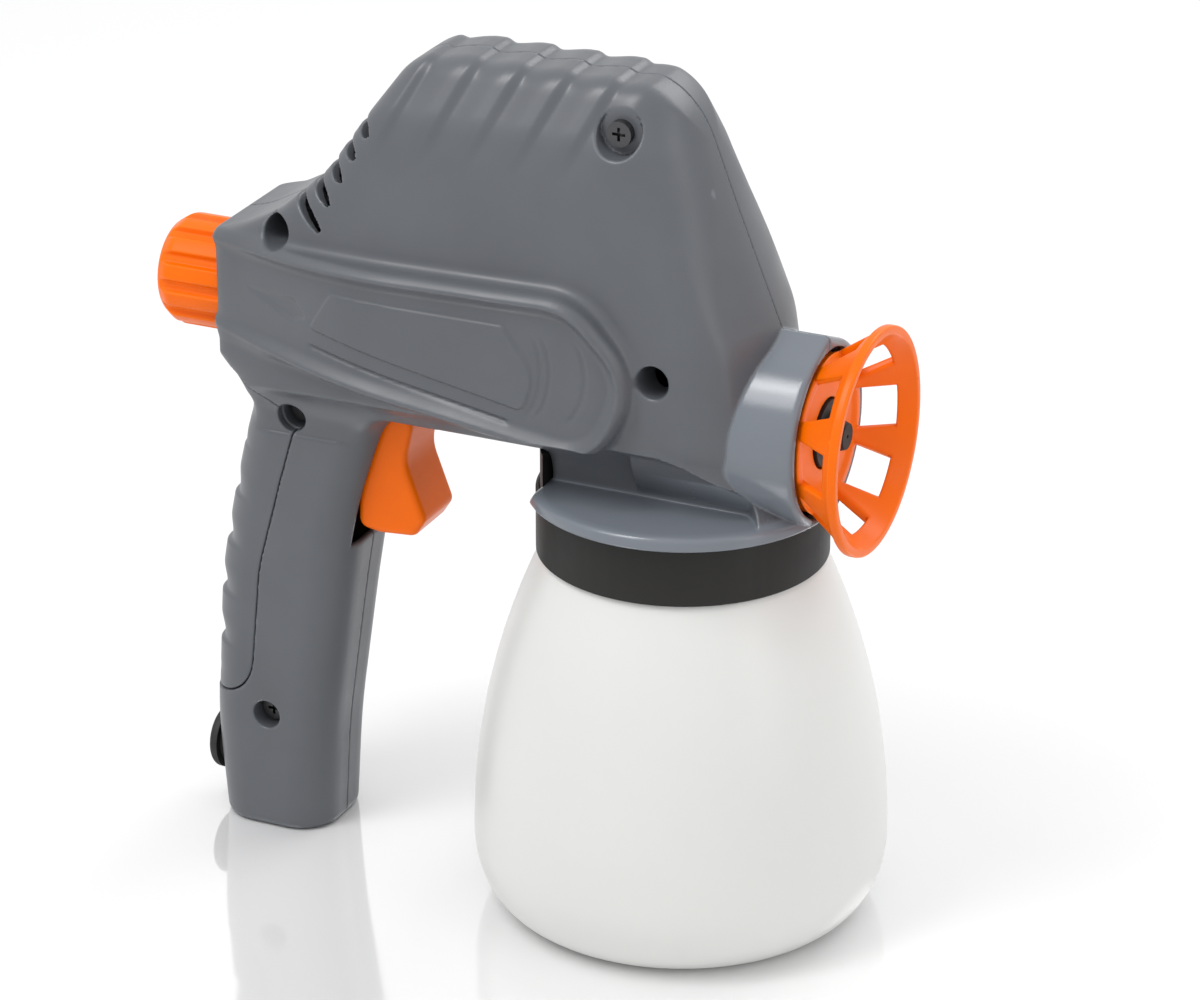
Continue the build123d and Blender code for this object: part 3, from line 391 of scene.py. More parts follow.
def barrel_field(x, y, z):
    """The round muzzle with its ridged roof, about the pump axis."""
    a, up = np.abs(y), z - axis_z
    ring = np.hypot(y, up) - barrel_radius
    flat = a * math.sin(barrel_ridge) + up * math.cos(barrel_ridge) - barrel_radius
    tangent = math.tan(barrel_ridge) * up
    ring = np.where(a < tangent, flat, ring)
    return smooth_max(smooth_max(ring, x - barrel_front, 1.8), -5.0 - x, 1.0)


def pod_field(x, a, z):
    """Raised stadium on each side, with a rim, a dished face and a flat pad."""
    width = 34.5
    width = width - 14.5 * (np.maximum(-66.0 - x, 0) / 60.0) ** 2
    width = width - 5.0 * (np.maximum(x + 16.0, 0) / 18.0) ** 2
    stadium = pod_outline(x, z)
    pad = pad_outline(x, z)
    dish = 1.7 * ramp(-2.4, -6.0, stadium) - 0.7 * np.exp(-(((stadium + 2.0) / 1.1) ** 2))
    raised = 0.65 * ramp(0.7, -0.5, pad)
    under = np.exp(-(((z - (knob_z - 9.3 - 0.17 * (x + 60.0))) / line_width) ** 2))
    under = under * ramp(-96.0, -93.0, x) * ramp(-34.0, -37.0, x)
    leaf = 0.8 * ramp(0.4, -1.5, leaf_outline(x, z))
    lines = 0.0
    for foremost, radius in arc_places:
        arc = np.hypot(x - foremost + radius, (z - knob_z - 2.0) * 0.8) - radius
        reach = ramp(knob_z - 12.0, knob_z - 9.0, z) * ramp(knob_z + 13.0, knob_z + 8.0, z)
        lines = lines + 0.4 * np.exp(-((arc / line_width) ** 2)) * reach * (x > foremost - radius)
    face = a - (width - dish + raised - 0.6 * under - leaf - lines)
    return smooth_max(smooth_max(stadium, face, 2.6), body_rear - x, 2.0)


# The grip's rear and front at some heights: z, rear x, front x
grip_levels = np.array([
    (0.0, -136.0, -102.4),
    (30.0, -138.1, -100.6),
    (floor_z - 57.0, -135.2, -94.2),
    (floor_z - 32.0, -130.0, -90.0),
    (floor_z - 12.0, -124.8, -84.0),
    (floor_z + 8.0, -117.5, -77.0),
])
grip_heights = np.linspace(0.0, floor_z + 8.0, 80)


def eased(levels, spread=8):
    """A column of the grip's levels read at every height, with its bends smoothed out."""
    line = np.pad(np.interp(grip_heights, grip_levels[:, 0], levels), spread,
                  mode="reflect", reflect_type="odd")
    weights = np.hanning(2 * spread + 3)
    return np.convolve(line, weights[1:-1] / weights.sum(), mode="valid")


grip_rear, grip_front = eased(grip_levels[:, 1]), eased(grip_levels[:, 2])


def grip_field(x, a, z):
    """Rounded-rectangle sections whose middle, depth and width follow the height."""
    t = np.clip(z, 0.0, floor_z + 8.0) / floor_z
    rear = np.interp(z, grip_heights, grip_rear)
    front = np.interp(z, grip_heights, grip_front)
    centre = 0.5 * (rear + front)
    depth = 0.5 * (front - rear)
    width = 15.7 + 1.2 * t**0.7 + 2.6 * t**6
    corner = 11.5
    qx = np.abs(x - centre) - (depth - corner)
    qa = a - (width - corner)
    round_part = np.hypot(np.maximum(qx, 0), np.maximum(qa, 0)) + np.minimum(np.maximum(qx, qa), 0)
    tall = np.maximum(-z, z - floor_z - 12.0)
    return smooth_max(round_part - corner, tall, 2.5)


def scoop_field(x, a, z):
    """Hollow above the ledge on each side: negative where material is taken away."""
    top = floor_z + 7.8 - 11.5 * ramp(2.0, 36.0, x)
    base = collar_top + 4.5
    reach = np.maximum(top - base, 1.0)
    rise = np.clip(z - base, 0.0, None)
    bulge = reach - np.sqrt(np.maximum(reach**2 - np.minimum(rise, reach) ** 2, 0.0))
    bulge = bulge + 8.0 * np.maximum(rise - reach, 0)
    flare = np.maximum(x - 24.0, 0) ** 2 / 8.0
    middle = neck_half_width + flare + bulge
    return np.maximum(middle - a, ledge_top - z)


def scallops(x, z):
    """Asymmetric valleys across the crown that fade out down its shoulders."""
    depth = 0.0
    lean = scallop_lean * (crown_z - z)
    for place in scallop_places:
        t = (x + lean - place) / scallop_pitch
        depth = depth + ramp(-0.08, 0.22, t) * ramp(0.80, 0.16, t)
    return scallop_depth * depth * ramp(crown_z - 29.0, crown_z - 12.0, z)


def body_field(x, y, z):
    """Outside of the housing without its ledge and muzzle, before any hole is cut."""
    a = np.abs(y)
    bend = ramp(-60.0, -10.0, x) * y * y / 82.0
    front = ramp(-50.0, 10.0, x)
    side = side_outline(x + bend, z)
    high = ramp(crown_z - 60.0, crown_z - 20.0, z)
    body = smooth_max(side, section_outline(a, z), 9.0 + 7.0 * front * high)
    body = smooth_max(body, plan_outline(x, a), 6.0 + 5.0 * high)
    body = body + scallops(x, z)
    body = smooth_min(body, pod_field(x, a, z), 3.0)
    body = smooth_min(body, grip_field(x, a, z), 9.0)
    r = np.hypot(x, y)
    cone = r - (skirt_radius - 0.4) + 0.95 * np.maximum(z - ledge_top + 1.0, 0)
    cone = smooth_max(cone, z - ledge_top - 16.0, 2.0)
    cone = smooth_max(cone, -30.0 - x, 2.0)
    body = smooth_min(body, cone, 7.0)
    return smooth_max(body, -scoop_field(x, a, z), 1.6)


def muzzle_field(x, y, z):
    """The muzzle ring and the ledge above the collar."""
    skirt = smooth_max(np.hypot(x, y) - skirt_radius, z - ledge_top, 1.8)
    return np.minimum(barrel_field(x, y, z), skirt)


def outer_field(x, y, z):
    """Outside of the whole housing, before any hole is cut."""
    return smooth_min(body_field(x, y, z), muzzle_field(x, y, z), 0.8)


def underside(x, z):
    """Room under the skirt, in front of the grip: negative where the housing must not reach."""
    return np.maximum(z - skirt_bottom, skirt_rear - x)


vent_middle = (-93.0, crown_z - 29.0)
vent_count = 5
vent_pitch = 6.8
vent_half_height = 1.5
vent_half_length = 21.5  # of the middle slot; the higher ones are shorter


def vents(x, a, z):
    """Slots through the rear slope: negative inside a slot."""
    along = ((x - vent_middle[0]) + (z - vent_middle[1])) / math.sqrt(2)
    across = ((x - vent_middle[0]) - (z - vent_middle[1])) / math.sqrt(2)
    step = np.clip(np.round(along / vent_pitch), -(vent_count // 2), vent_count // 2)
    along = along - step * vent_pitch
    slot = np.hypot(np.maximum(a - vent_half_length + 1.2 * step, 0), along) - vent_half_height
    return np.maximum(slot, np.abs(across) - 14.0)


def drum_room(x, z):
    """Room for the black drum above the collar, open to the rear: negative inside it."""
    pocket = np.maximum(np.hypot(x + 39.5, z - collar_top - 6.0) - 9.5, z - floor_z + 0.3)
    pocket = np.minimum(pocket, np.maximum(x + 32.5, z - floor_z + 0.3))
    return np.maximum(pocket, skirt_rear - x)


def gland_hole(x, y, z):
    """Hole for the cord gland through the back of the grip: negative inside it."""
    return np.maximum(np.hypot(y, z - gland_z) - gland_hole_radius, x + 125.0)


def housing_field(side):
    """One half of the clamshell, side -1 for -Y and 1 for +Y."""

    def field(x, y, z):
        a = np.abs(y)
        r = np.hypot(x, y)
        outer = smooth_max(outer_field(x, y, z), -underside(x, z), 0.8)
        outer = np.maximum(outer, np.minimum(outer + strap_seat_depth, -strap_outline(x, z)))
        shell = np.maximum(outer, -(outer + wall))
        # Screw pillars, and on the right side the walls of the recesses
        for sx, sz, radius, foot in screw_places:
            from_screw = np.hypot(x - sx, z - sz)
            pillar = from_screw - pillar_radius
            if side < 0:
                boss = np.maximum(from_screw - radius - recess_wall, foot - 2.0 - a)
                pillar = np.minimum(pillar, boss)
            shell = np.minimum(shell, np.maximum(pillar, outer + 0.8))
        # Bore of the muzzle, room inside the skirt and for the pump block
        bore = np.maximum(np.hypot(y, z - axis_z) - barrel_radius + 2.3, -2.0 - x)
        shell = smooth_max(shell, -bore, 0.9)
        shell = np.maximum(shell, -np.maximum(r - skirt_radius + wall, z - collar_top))
        tower = np.maximum(np.maximum(a - pump_half_width, r - 38.0), z - floor_z - 5.0)
        shell = np.maximum(shell, -np.maximum(tower, skirt_bottom - z))
        shell = smooth_max(shell, -drum_room(x, z), 0.8)
        # Trigger slot, holes of the knob's bush and the gland, vents
        slot = np.maximum(np.abs(x + 84.0) - 18.0, np.abs(z - 113.0) - 24.0)
        shell = smooth_max(shell, -np.maximum(a - trigger_slot_half_width, slot), 1.2)
        bush_hole = np.maximum(np.hypot(y, z - knob_z) - bush_hole_radius, x + 120.0)
        shell = np.maximum(shell, -bush_hole)
        shell = np.maximum(shell, -gland_hole(x, y, z))
        shell = smooth_max(shell, -vents(x, a, z), 0.6)
        if side < 0:
            for sx, sz, radius, foot in screw_places:
                from_screw = np.hypot(x - sx, z - sz)
                recess = np.maximum(from_screw - radius, y + foot)
                shell = smooth_max(shell, -recess, 0.9)
                hole = np.maximum(from_screw - screw_hole_radius, a - foot - 1.0)
                shell = np.maximum(shell, -hole)
        return smooth_max(shell, half_gap - side * y, 0.5)

    return field


def backstrap_field(x, y, z):
    """Rear insert of the grip, with saw-like finger ridges."""
    skin = outer_field(x, y, z)
    phase = np.mod((z - 38.0) / 15.2, 1.0)
    tooth = ramp(0.0, 0.10, phase) * ramp(0.62, 0.12, phase)
    rear = ramp(-126.0, -136.0, x - 0.13 * (z - 60.0)) * ramp(42.0, 50.0, z)
    grip = skin + 0.25 + 1.5 * tooth * rear * ramp(floor_z - 12.0, floor_z - 22.0, z)
    strap = smooth_max(grip, strap_outline(x, z) + 0.3, 0.8)
    strap = np.maximum(strap, -(skin + strap_thickness))
    for sx, sz, radius, _ in screw_places[3:]:
        strap = smooth_max(strap, radius + 0.3 - np.hypot(x - sx, z - sz), 0.5)
    return np.maximum(strap, -gland_hole(x, y, z))


# ------------------------------------------------------------------ other moulded shapes

trigger_low, trigger_high = node_box("trigger")
pin = node_middle("trigger_pin")

trigger_outline = outline_field(rounded([
    (pin[0] + 4.6, pin[2] + 5.0, 5.0),
    (pin[0] + 4.6, pin[2] - 12.0, 12.0),
    (pin[0] + 2.4, pin[2] - 22.0, 12.0),
    (pin[0] + 8.4, pin[2] - 38.0, 3.0),
    (pin[0] + 5.0, pin[2] - 43.2, 3.0),
    (pin[0] - 5.5, pin[2] - 44.0, 8.0),
    (pin[0] - 11.8, pin[2] - 43.0, 3.5),
    (pin[0] - 12.0, pin[2] - 16.0, 14.0),
    (pin[0] - 4.6, pin[2] + 5.0, 5.0),
]), spacing=0.25, margin=8.0)


def trigger_field(x, y, z):
    """Flat-sided lever with well-rounded edges, bored for its pin."""
    face = np.abs(y) - (trigger_high[1] - 0.02)
    lever = smooth_max(trigger_outline(x, z), face, 2.2)
    return smooth_max(lever, 2.05 - np.hypot(x - pin[0], z - pin[2]), 0.4)


knob_low, knob_high = node_box("control_knob")
knob_flutes = 12
knob_radius = (knob_high[2] - knob_low[2]) / 2


def knob_field(x, y, z):
    """Fluted cap with a chamfered end, a dimple, and a hub inside."""
    up = z - knob_z
    ring = np.hypot(y, up)
    turn = np.arctan2(up, y) * knob_flutes
    flute = ramp(-0.1, 0.75, np.cos(turn))
    body = ring - (knob_radius - 0.1) + 1.5 * flute * ramp(knob_low[0], knob_low[0] + 2.0, x)
    chamfer = ring - knob_radius + 2.6 - 0.7 * (x - knob_low[0])
    body = smooth_max(body, chamfer, 0.8)
    ends = np.abs(x - (knob_low[0] + knob_high[0]) / 2) - (knob_high[0] - knob_low[0]) / 2
    body = smooth_max(body, ends, 0.8)
    hollow = np.maximum(np.maximum(ring - knob_radius + 3.6, 8.6 - ring), knob_low[0] + 3.0 - x)
    body = np.maximum(body, -hollow)
    dimple = np.maximum(ring - 8.5, x - knob_low[0] - 0.6)
    body = smooth_max(body, -dimple, 0.5)
    bore = np.maximum(ring - 6.1, knob_high[0] - 11.5 - x)
    return np.maximum(body, -bore)


guard_low, guard_high = node_box("spray_guard")
guard_radius = (guard_high[2] - guard_low[2]) / 2
guard_windows = 8
flange_x = guard_low[0] + 8.95

guard_outline = outline_field(rounded([
    (guard_low[0], 13.4, 0.0),
    (guard_low[0], 15.1, 0.5),
    (flange_x, 15.1, 0.3),
    (flange_x, 20.9, 0.5),
    (flange_x + 2.6, 20.9, 0.6),
    (guard_high[0] - 2.6, guard_radius - 1.2, 0.8),
    (guard_high[0] - 2.4, guard_radius, 0.5),
    (guard_high[0], guard_radius, 0.7),
    (guard_high[0], guard_radius - 2.2, 0.7),
    (flange_x + 5.4, guard_radius - 10.9, 0.6),
    (flange_x + 3.2, 17.5, 1.5),
    (flange_x + 3.2, 9.4, 0.3),
    (flange_x + 0.8, 9.4, 0.3),
    (flange_x + 0.8, 13.4, 0.3),
]), spacing=0.2, margin=10.0)


def guard_field(x, y, z):
    """Cone with a flange at its foot and eight windows."""
    up = z - axis_z
    ring = np.hypot(y, up)
    body = guard_outline(x, ring)
    pitch = 2 * math.pi / guard_windows
    turn = np.mod(np.arctan2(up, y) + pitch / 2, pitch) - pitch / 2
    across = np.abs(ring * np.sin(turn)) - 5.7
    along = np.abs(x - (flange_x + 8.4)) - 4.3
    window = np.maximum(np.maximum(across, along), 15.0 - ring)
    return smooth_max(body, -window, 1.0)


# ------------------------------------------------------------------ materials


class Shader:
    """A material with its Principled shader and small helpers that add nodes to it."""

    def __init__(self, name):
        self.material = bpy.data.materials.new(name)
        self.material.use_nodes = True
        self.tree = self.material.node_tree
        self.surface = self.tree.nodes["Principled BSDF"]
        self.place = self.tree.nodes.new("ShaderNodeTexCoord").outputs["Object"]

    def link(self, source, target):
        self.tree.links.new(source, target)

    def noise(self, scale, detail=4.0, rough=0.6):
        """Cloudy noise, scale in features per metre."""
        node = self.tree.nodes.new("ShaderNodeTexNoise")
        node.inputs["Scale"].default_value = scale
        node.inputs["Detail"].default_value = detail
        node.inputs["Roughness"].default_value = rough
        self.link(self.place, node.inputs["Vector"])
        return node.outputs["Fac"]

    def cells(self, scale):
        """Distance to the middle of a pebble."""
        node = self.tree.nodes.new("ShaderNodeTexVoronoi")
        node.inputs["Scale"].default_value = scale
        self.link(self.place, node.inputs["Vector"])
        return node.outputs["Distance"]

    def scale_to(self, source, low, high, start=0.3, end=0.7):
        """Spreads the range start..end over low..high."""
        node = self.tree.nodes.new("ShaderNodeMapRange")
        node.inputs["From Min"].default_value = start
        node.inputs["From Max"].default_value = end
        node.inputs["To Min"].default_value = low
        node.inputs["To Max"].default_value = high
        self.link(source, node.inputs["Value"])
        return node.outputs["Result"]

    def blend_colours(self, factor, first, second):
        """Mix of two fixed colours."""
        node = self.tree.nodes.new("ShaderNodeMix")
        node.data_type = "RGBA"
        node.inputs["A"].default_value = (*first, 1)
        node.inputs["B"].default_value = (*second, 1)
        self.link(factor, node.inputs["Factor"])
        return node.outputs["Result"]

    def bumps(self, layers):
        """Stacks bump layers, each (height output, distance in metres, strength)."""
        last = None
        for height, distance, strength in layers:
            node = self.tree.nodes.new("ShaderNodeBump")
            node.inputs["Distance"].default_value = distance
            node.inputs["Strength"].default_value = strength
            self.link(height, node.inputs["Height"])
            if last is not None:
                self.link(last, node.inputs["Normal"])
            last = node.outputs["Normal"]
        self.link(last, self.surface.inputs["Normal"])

    def painted_edge_highlight(self, colour, lighter):
        """Convex edges a little lighter, from the mesh's own pointiness: a painted highlight where
        the edges catch the light.
        """
        geometry = self.tree.nodes.new("ShaderNodeNewGeometry")
        edge = self.scale_to(geometry.outputs["Pointiness"], 0.0, 1.0, 0.52, 0.62)
        node = self.tree.nodes.new("ShaderNodeMix")
        node.data_type = "RGBA"
        node.inputs["B"].default_value = (*lighter, 1)
        self.link(edge, node.inputs["Factor"])
        self.link(colour, node.inputs["A"])
        return node.outputs["Result"]


def linear(red, green, blue):
    """Linear colour from 8-bit sRGB."""
    return tuple(
        (c / 255 / 12.92) if c < 10 else ((c / 255 + 0.055) / 1.055) ** 2.4
        for c in (red, green, blue)
    )


def moulded_plastic(name, colour, roughness, grain, shine=0.5):
    """Injection-moulded plastic: spark-eroded grain, faint flow marks, uneven gloss and a painted
    highlight on convex edges.
    """
    shader = Shader(name)
    broad = shader.scale_to(shader.noise(28.0, 3.0), 0.0, 1.0)
    dark = tuple(0.93 * c for c in colour)
    light = tuple(1.07 * c for c in colour)
    tint = shader.blend_colours(broad, dark, light)
    # Painted highlight: convex edges lightened in the base colour.
    tint = shader.painted_edge_highlight(tint, tuple(min(1.0, 1.45 * c + 0.01) for c in colour))
    shader.link(tint, shader.surface.inputs["Base Color"])
    patch = shader.noise(60.0, 5.0)
    shader.link(
        shader.scale_to(patch, roughness - 0.05, roughness + 0.06),
        shader.surface.inputs["Roughness"],
    )
    shader.surface.inputs["Specular IOR Level"].default_value = shine
    shader.bumps([
        (shader.noise(2600.0, 3.0, 0.7), 0.00006, grain),
        (shader.cells(3400.0), 0.00004, 0.5 * grain),
        (shader.noise(90.0, 2.0), 0.0003, 0.04),
    ])
    return shader.material


def housing_plastic():
    """Grained grey plastic that turns glossier where the mesh is marked, and lighter there as a
    painted sheen.
    """
    material = moulded_plastic("body_grey_grained", linear(86, 89, 94), 0.36, 0.30)
    tree = material.node_tree
    surface = tree.nodes["Principled BSDF"]
    mark = tree.nodes.new("ShaderNodeAttribute")
    mark.attribute_name = "gloss"
    # The lighter base colour on the marked parts is a painted sheen; the lower roughness is their
    # real glossier finish.
    gloss_and_painted_sheen = (
        ("Base Color", "RGBA", (*linear(112, 118, 126), 1)),
        ("Roughness", "FLOAT", 0.17),
    )
    for socket, kind, value in gloss_and_painted_sheen:
        grained = surface.inputs[socket].links[0].from_socket
        mix = tree.nodes.new("ShaderNodeMix")
        mix.data_type = kind
        mix.inputs["B"].default_value = value
        tree.links.new(mark.outputs["Fac"], mix.inputs["Factor"])
        tree.links.new(grained, mix.inputs["A"])
        tree.links.new(mix.outputs["Result"], surface.inputs[socket])
    return material


def milky_plastic():
    """Blow-moulded polyethylene of the jar: lets light through and is slightly wavy."""
    shader = Shader("milky_polyethylene")
    cloud = shader.scale_to(shader.noise(9.0, 2.0), 0.0, 1.0)
    tint = shader.blend_colours(cloud, linear(217, 218, 216), linear(222, 222, 219))
    shader.link(tint, shader.surface.inputs["Base Color"])
    shader.surface.inputs["Subsurface Weight"].default_value = 0.35
    shader.surface.inputs["Subsurface Radius"].default_value = (0.9, 0.9, 0.9)
    shader.surface.inputs["Subsurface Scale"].default_value = 0.006
    shader.link(
        shader.scale_to(shader.noise(14.0, 2.0), 0.29, 0.36),
        shader.surface.inputs["Roughness"],
    )
    shader.bumps([
        (shader.noise(1500.0, 3.0), 0.00004, 0.16),
        (shader.noise(16.0, 1.0), 0.0006, 0.05),
    ])
    return shader.material


def metal(name, colour, roughness, stretch, grain):
    """Machined or pressed metal, brushed along one axis."""
    shader = Shader(name)
    mapping = shader.tree.nodes.new("ShaderNodeMapping")
    mapping.inputs["Scale"].default_value = stretch
    shader.link(shader.place, mapping.inputs["Vector"])
    shader.place = mapping.outputs["Vector"]
    streak = shader.noise(900.0, 4.0)
    tint = shader.blend_colours(
        shader.scale_to(streak, 0.0, 1.0), tuple(0.82 * c for c in colour), colour
    )
    shader.link(tint, shader.surface.inputs["Base Color"])
    shader.surface.inputs["Metallic"].default_value = 1.0
    shader.link(
        shader.scale_to(streak, roughness - 0.06, roughness + 0.08),
        shader.surface.inputs["Roughness"],
    )
    shader.bumps([(streak, 0.00005, grain)])
    return shader.material


def soft_rubber(name, colour):
    """Matt rubber with a fine pebble, dusty high spots and a painted highlight on convex edges."""
    shader = Shader(name)
    dust = shader.scale_to(shader.noise(70.0, 5.0), 0.0, 1.0)
    tint = shader.blend_colours(dust, colour, tuple(1.5 * c + 0.004 for c in colour))
    # Painted highlight: convex edges lightened in the base colour.
    shader.link(shader.painted_edge_highlight(tint, tuple(2.4 * c + 0.01 for c in colour)),
                shader.surface.inputs["Base Color"])
    shader.link(
        shader.scale_to(shader.noise(120.0, 4.0), 0.55, 0.72),
        shader.surface.inputs["Roughness"],
    )
    shader.bumps([
        (shader.cells(2400.0), 0.00008, 0.35),
        (shader.noise(400.0, 4.0), 0.00008, 0.15),
    ])
    return shader.material


finishes = {
    "body_grey": housing_plastic(),
    "accent_orange": moulded_plastic("accent_orange_satin", linear(240, 105, 0), 0.32, 0.10,
                                     shine=0.18),
    "jar_white": milky_plastic(),
    "pump_black": moulded_plastic("pump_black_grained", linear(17, 16, 14), 0.48, 0.25,
                                  shine=0.25),
    "rubber_black": soft_rubber("rubber_black_pebbled", linear(22, 22, 22)),
    "steel": metal("steel_turned", linear(190, 192, 195), 0.28, (1, 8, 8), 0.10),
    "core_steel": metal("core_steel_laminated", linear(120, 122, 126), 0.42, (1, 30, 1), 0.35),
    "screw_steel": metal("screw_steel_plated", linear(92, 92, 94), 0.42, (4, 1, 4), 0.10),
    "brass": metal("brass_turned", linear(196, 160, 92), 0.30, (1, 8, 8), 0.10),
    "copper_winding": metal("copper_winding_wound", linear(178, 96, 52), 0.34, (1, 1, 60), 0.6),
    "bobbin_white": moulded_plastic("bobbin_white_nylon", linear(222, 220, 210), 0.45, 0.15),
    "tube_clear": moulded_plastic("tube_natural", linear(205, 208, 206), 0.30, 0.05),
    "switch_black": moulded_plastic("switch_black_phenolic", linear(34, 34, 36), 0.40, 0.20),
}


# ------------------------------------------------------------------ pieces


def finish_piece(piece, slot, body, node):
    """Gives a piece its finish and slot, the body it rides on and the node it stands for."""
    piece.data.materials.clear()
    piece.data.materials.append(finishes[slot])
    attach(piece, body)
    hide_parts(node)


def mark_gloss_and_sheen(piece):
    """Marks the muzzle ring and the ledge above the collar, which have a glossier finish and a
    painted sheen in a lighter colour.
    """
    mesh = piece.data
    points = np.empty(len(mesh.vertices) * 3, np.float32)
    mesh.vertices.foreach_get("co", points)
    points = points.reshape(-1, 3).T / MM
    ring = ramp(-0.3, 0.3, body_field(*points) - barrel_field(*points))
    bore = np.hypot(points[1], points[2] - axis_z) < barrel_radius
    ring = np.where(bore & (points[0] > 34.0), 1.0, ring) * ramp(17.0, 20.0, points[0])
    ledge = ramp(ledge_top + 1.6, ledge_top + 0.6, points[2])
    ledge = ledge * ramp(collar_top - 2.0, collar_top - 1.0, points[2]) * (points[0] > -45.0)
    gloss = np.maximum(ring, ledge)
    mark = mesh.attributes.new("gloss", "FLOAT", "POINT")
    mark.data.foreach_set("value", gloss.astype(np.float32))


def make_housing():
    reach = skirt_radius + 0.5
    for side, name in ((-1, "housing_right"), (1, "housing_left")):
        low = (-139.5, -reach if side < 0 else 0.0, -1.0)
        high = (43.0, 0.0 if side < 0 else reach, crown_z + 1.0)
        piece = sculpt(name + "_shell", housing_field(side), low, high)
        finish_piece(piece, "body_grey", "gun", name)
        mark_gloss_and_sheen(piece)


def make_moulded_parts():
    strap_low, strap_high = (-142.0, -21.0, 34.0), (-100.0, 21.0, floor_z + 8.0)
    for name, field, low, high, fineness, slot, body, node in (
        ("grip_backstrap_pad", backstrap_field, strap_low, strap_high, 0.9,
         "body_grey", "gun", "grip_backstrap"),
        ("trigger_lever", trigger_field, trigger_low, trigger_high, 0.6,
         "accent_orange", "trigger", "trigger"),
        ("control_knob_cap", knob_field, knob_low, knob_high, 0.7,
         "accent_orange", "knob", "control_knob"),
        ("spray_guard_crown", guard_field, guard_low, guard_high, 0.7,
         "accent_orange", "guard", "spray_guard"),
    ):
        piece = sculpt(name, field, low, high, cell * fineness)
        finish_piece(piece, slot, body, node)


def jar_profile(inset):
    """Half-outline of the jar from the middle of its foot up to its neck."""
    belly, shoulder = 20.0, 37.6
    foot = 43.0 - inset / 2
    points = [(0.0, 1.6 + inset), (foot - 8.0, 1.4 + inset), (foot - 4.0, inset + 0.1)]
    for t in np.linspace(0, 1, 20):
        angle = -math.pi / 2 * (1 - t)
        points.append((foot + (jar_radius - inset - foot) * math.cos(angle),
                       belly + (belly - inset) * math.sin(angle)))
    rise, run = jar_shoulder - belly, jar_radius - shoulder
    bow = (rise**2 + run**2) / (2 * run)
    sweep = math.asin(rise / bow)
    for t in np.linspace(0, 1, 48)[1:]:
        angle = sweep * t
        points.append((jar_radius - inset - bow + bow * math.cos(angle),
                       belly + bow * math.sin(angle) - inset * t))
    neck = 34.6 - inset
    points += [(neck, jar_shoulder - inset), (neck, jar_top)]
    return points


def lathe(name, profile, steps=160):
    """Closed surface of revolution about Z."""
    vertices, faces, rings = [], [], []
    for radius, z in profile:
        if radius < 1e-6:
            rings.append([len(vertices)])
            vertices.append((0.0, 0.0, z))
            continue
        rings.append(list(range(len(vertices), len(vertices) + steps)))
        for turn in np.linspace(0, 2 * math.pi, steps, endpoint=False):
            vertices.append((radius * math.cos(turn), radius * math.sin(turn), z))
    for first, second in zip(rings, rings[1:]):
        for i in range(steps):
            j = (i + 1) % steps
            corners = [first[i % len(first)], first[j % len(first)],
                       second[j % len(second)], second[i % len(second)]]
            corners = list(dict.fromkeys(corners))
            if len(corners) > 2:
                faces.append(corners)
    piece = new_mesh(name, vertices, faces)
    piece.data.shade_smooth()
    return piece


def make_jar():
    outside = jar_profile(0.0)
    inside = jar_profile(1.8)
    piece = lathe("jar_bottle", outside + inside[::-1])
    bevel = piece.modifiers.new("lip", "BEVEL")
    bevel.width = 0.4 * MM
    bevel.segments = 2
    bevel.limit_method = "ANGLE"
    finish_piece(piece, "jar_white", "jar", "jar")


make_housing()
make_moulded_parts()
make_jar()

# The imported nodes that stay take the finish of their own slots.
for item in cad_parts.values():
    for place in item.material_slots:
        slot = place.material.name.split(".")[0] if place.material else ""
        if slot in finishes:
            place.material = finishes[slot]


# ------------------------------------------------------------------ camera, light and floor

azimuth = math.radians(24.54)
elevation = math.radians(24.03)
distance = 1.2418
target = Vector((-0.0241, 0.0, 0.1111))
floor_half_size = 4000


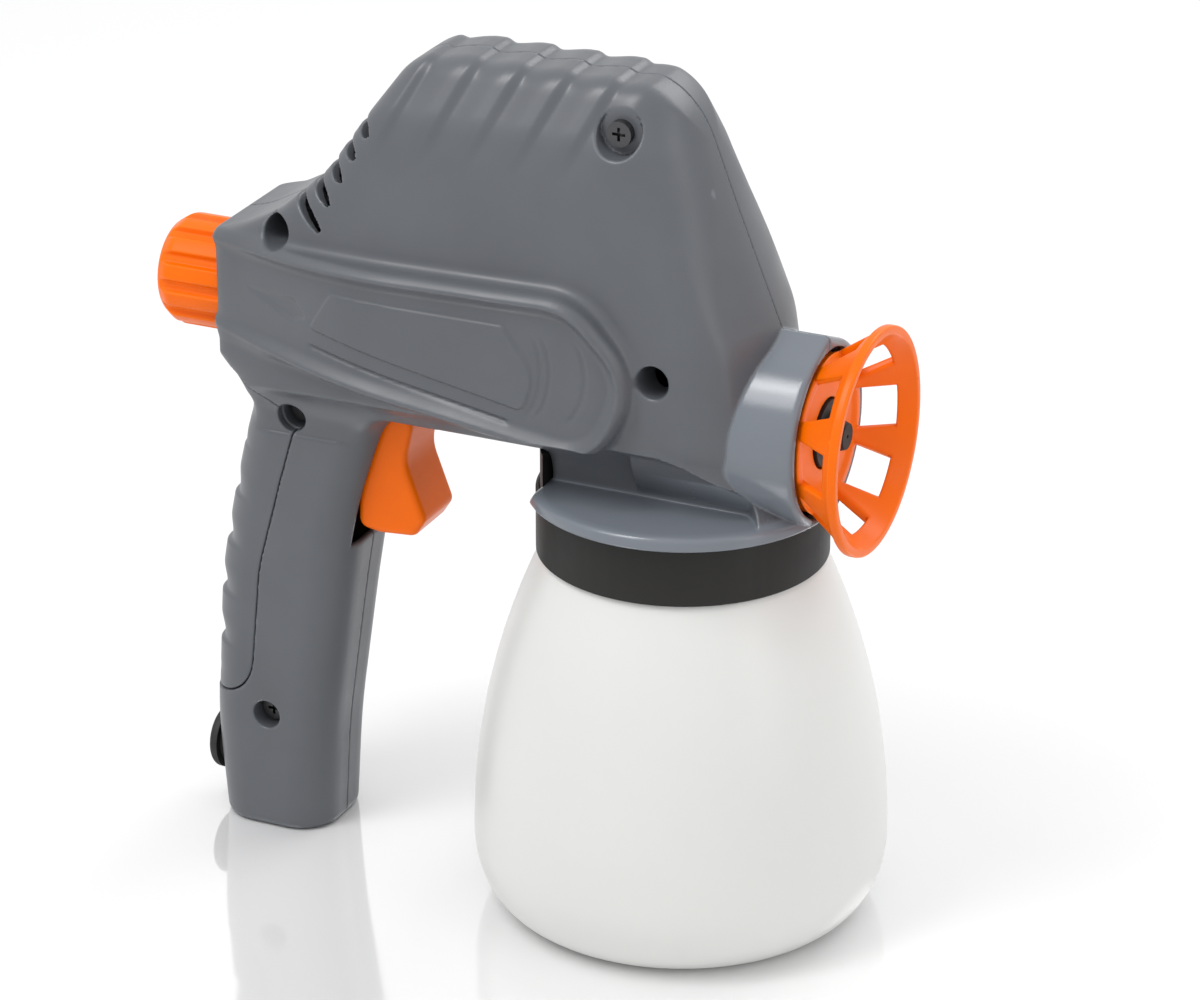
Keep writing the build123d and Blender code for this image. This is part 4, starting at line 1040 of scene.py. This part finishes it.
def make_camera():
    """Camera on a long lens, looking down at the right side."""
    back = Vector((math.sin(azimuth) * math.cos(elevation),
                   -math.cos(azimuth) * math.cos(elevation), math.sin(elevation)))
    data = bpy.data.cameras.new("view")
    data.lens = 140.3
    data.sensor_width = 36.0
    camera = bpy.data.objects.new("view", data)
    camera.location = target + back * distance
    camera.rotation_mode = "QUATERNION"
    camera.rotation_quaternion = (-back).to_track_quat("-Z", "Y")
    bpy.context.scene.collection.objects.link(camera)
    bpy.context.scene.camera = camera


def area_light(name, place, aim, size, power, tall=None):
    """Soft light of size by tall metres that faces its aim."""
    data = bpy.data.lights.new(name, "AREA")
    data.shape = "RECTANGLE"
    data.size = size
    data.size_y = tall or size
    data.energy = power
    light = bpy.data.objects.new(name, data)
    light.location = place
    light.rotation_mode = "QUATERNION"
    light.rotation_quaternion = (Vector(aim) - Vector(place)).to_track_quat("-Z", "Y")
    bpy.context.scene.collection.objects.link(light)


def make_studio():
    """Pale glossy floor, white surroundings and four soft lights."""
    corners = [(u * floor_half_size, v * floor_half_size, 0)
               for u, v in ((-1, -1), (1, -1), (1, 1), (-1, 1))]
    floor = new_mesh("floor", corners, [(0, 1, 2, 3)])
    shader = Shader("pale_gloss_floor")
    shader.surface.inputs["Base Color"].default_value = (0.88, 0.88, 0.885, 1)
    shader.surface.inputs["Metallic"].default_value = 0.3
    shader.link(shader.scale_to(shader.noise(6.0, 3.0), 0.05, 0.09),
                shader.surface.inputs["Roughness"])
    floor.data.materials.append(shader.material)
    world = bpy.data.worlds.new("studio")
    world.use_nodes = True
    world.node_tree.nodes["Background"].inputs["Color"].default_value = (1, 1, 1, 1)
    world.node_tree.nodes["Background"].inputs["Strength"].default_value = 0.93
    bpy.context.scene.world = world
    area_light("key", (-0.5, -0.7, 1.2), (-0.03, 0, 0.12), 0.5, 5.0)
    area_light("fill_right", (0.9, -0.25, 0.45), (0.0, 0, 0.13), 0.3, 1.0, 0.9)
    area_light("rim_back", (0.3, 0.9, 0.9), (-0.03, 0, 0.15), 0.8, 4.0, 0.4)
    area_light("strip_top", (-0.25, -0.28, 0.95), (-0.04, 0, 0.2), 0.16, 1.6, 0.25)


make_camera()
make_studio()
bpy.context.scene.view_settings.view_transform = "Standard"
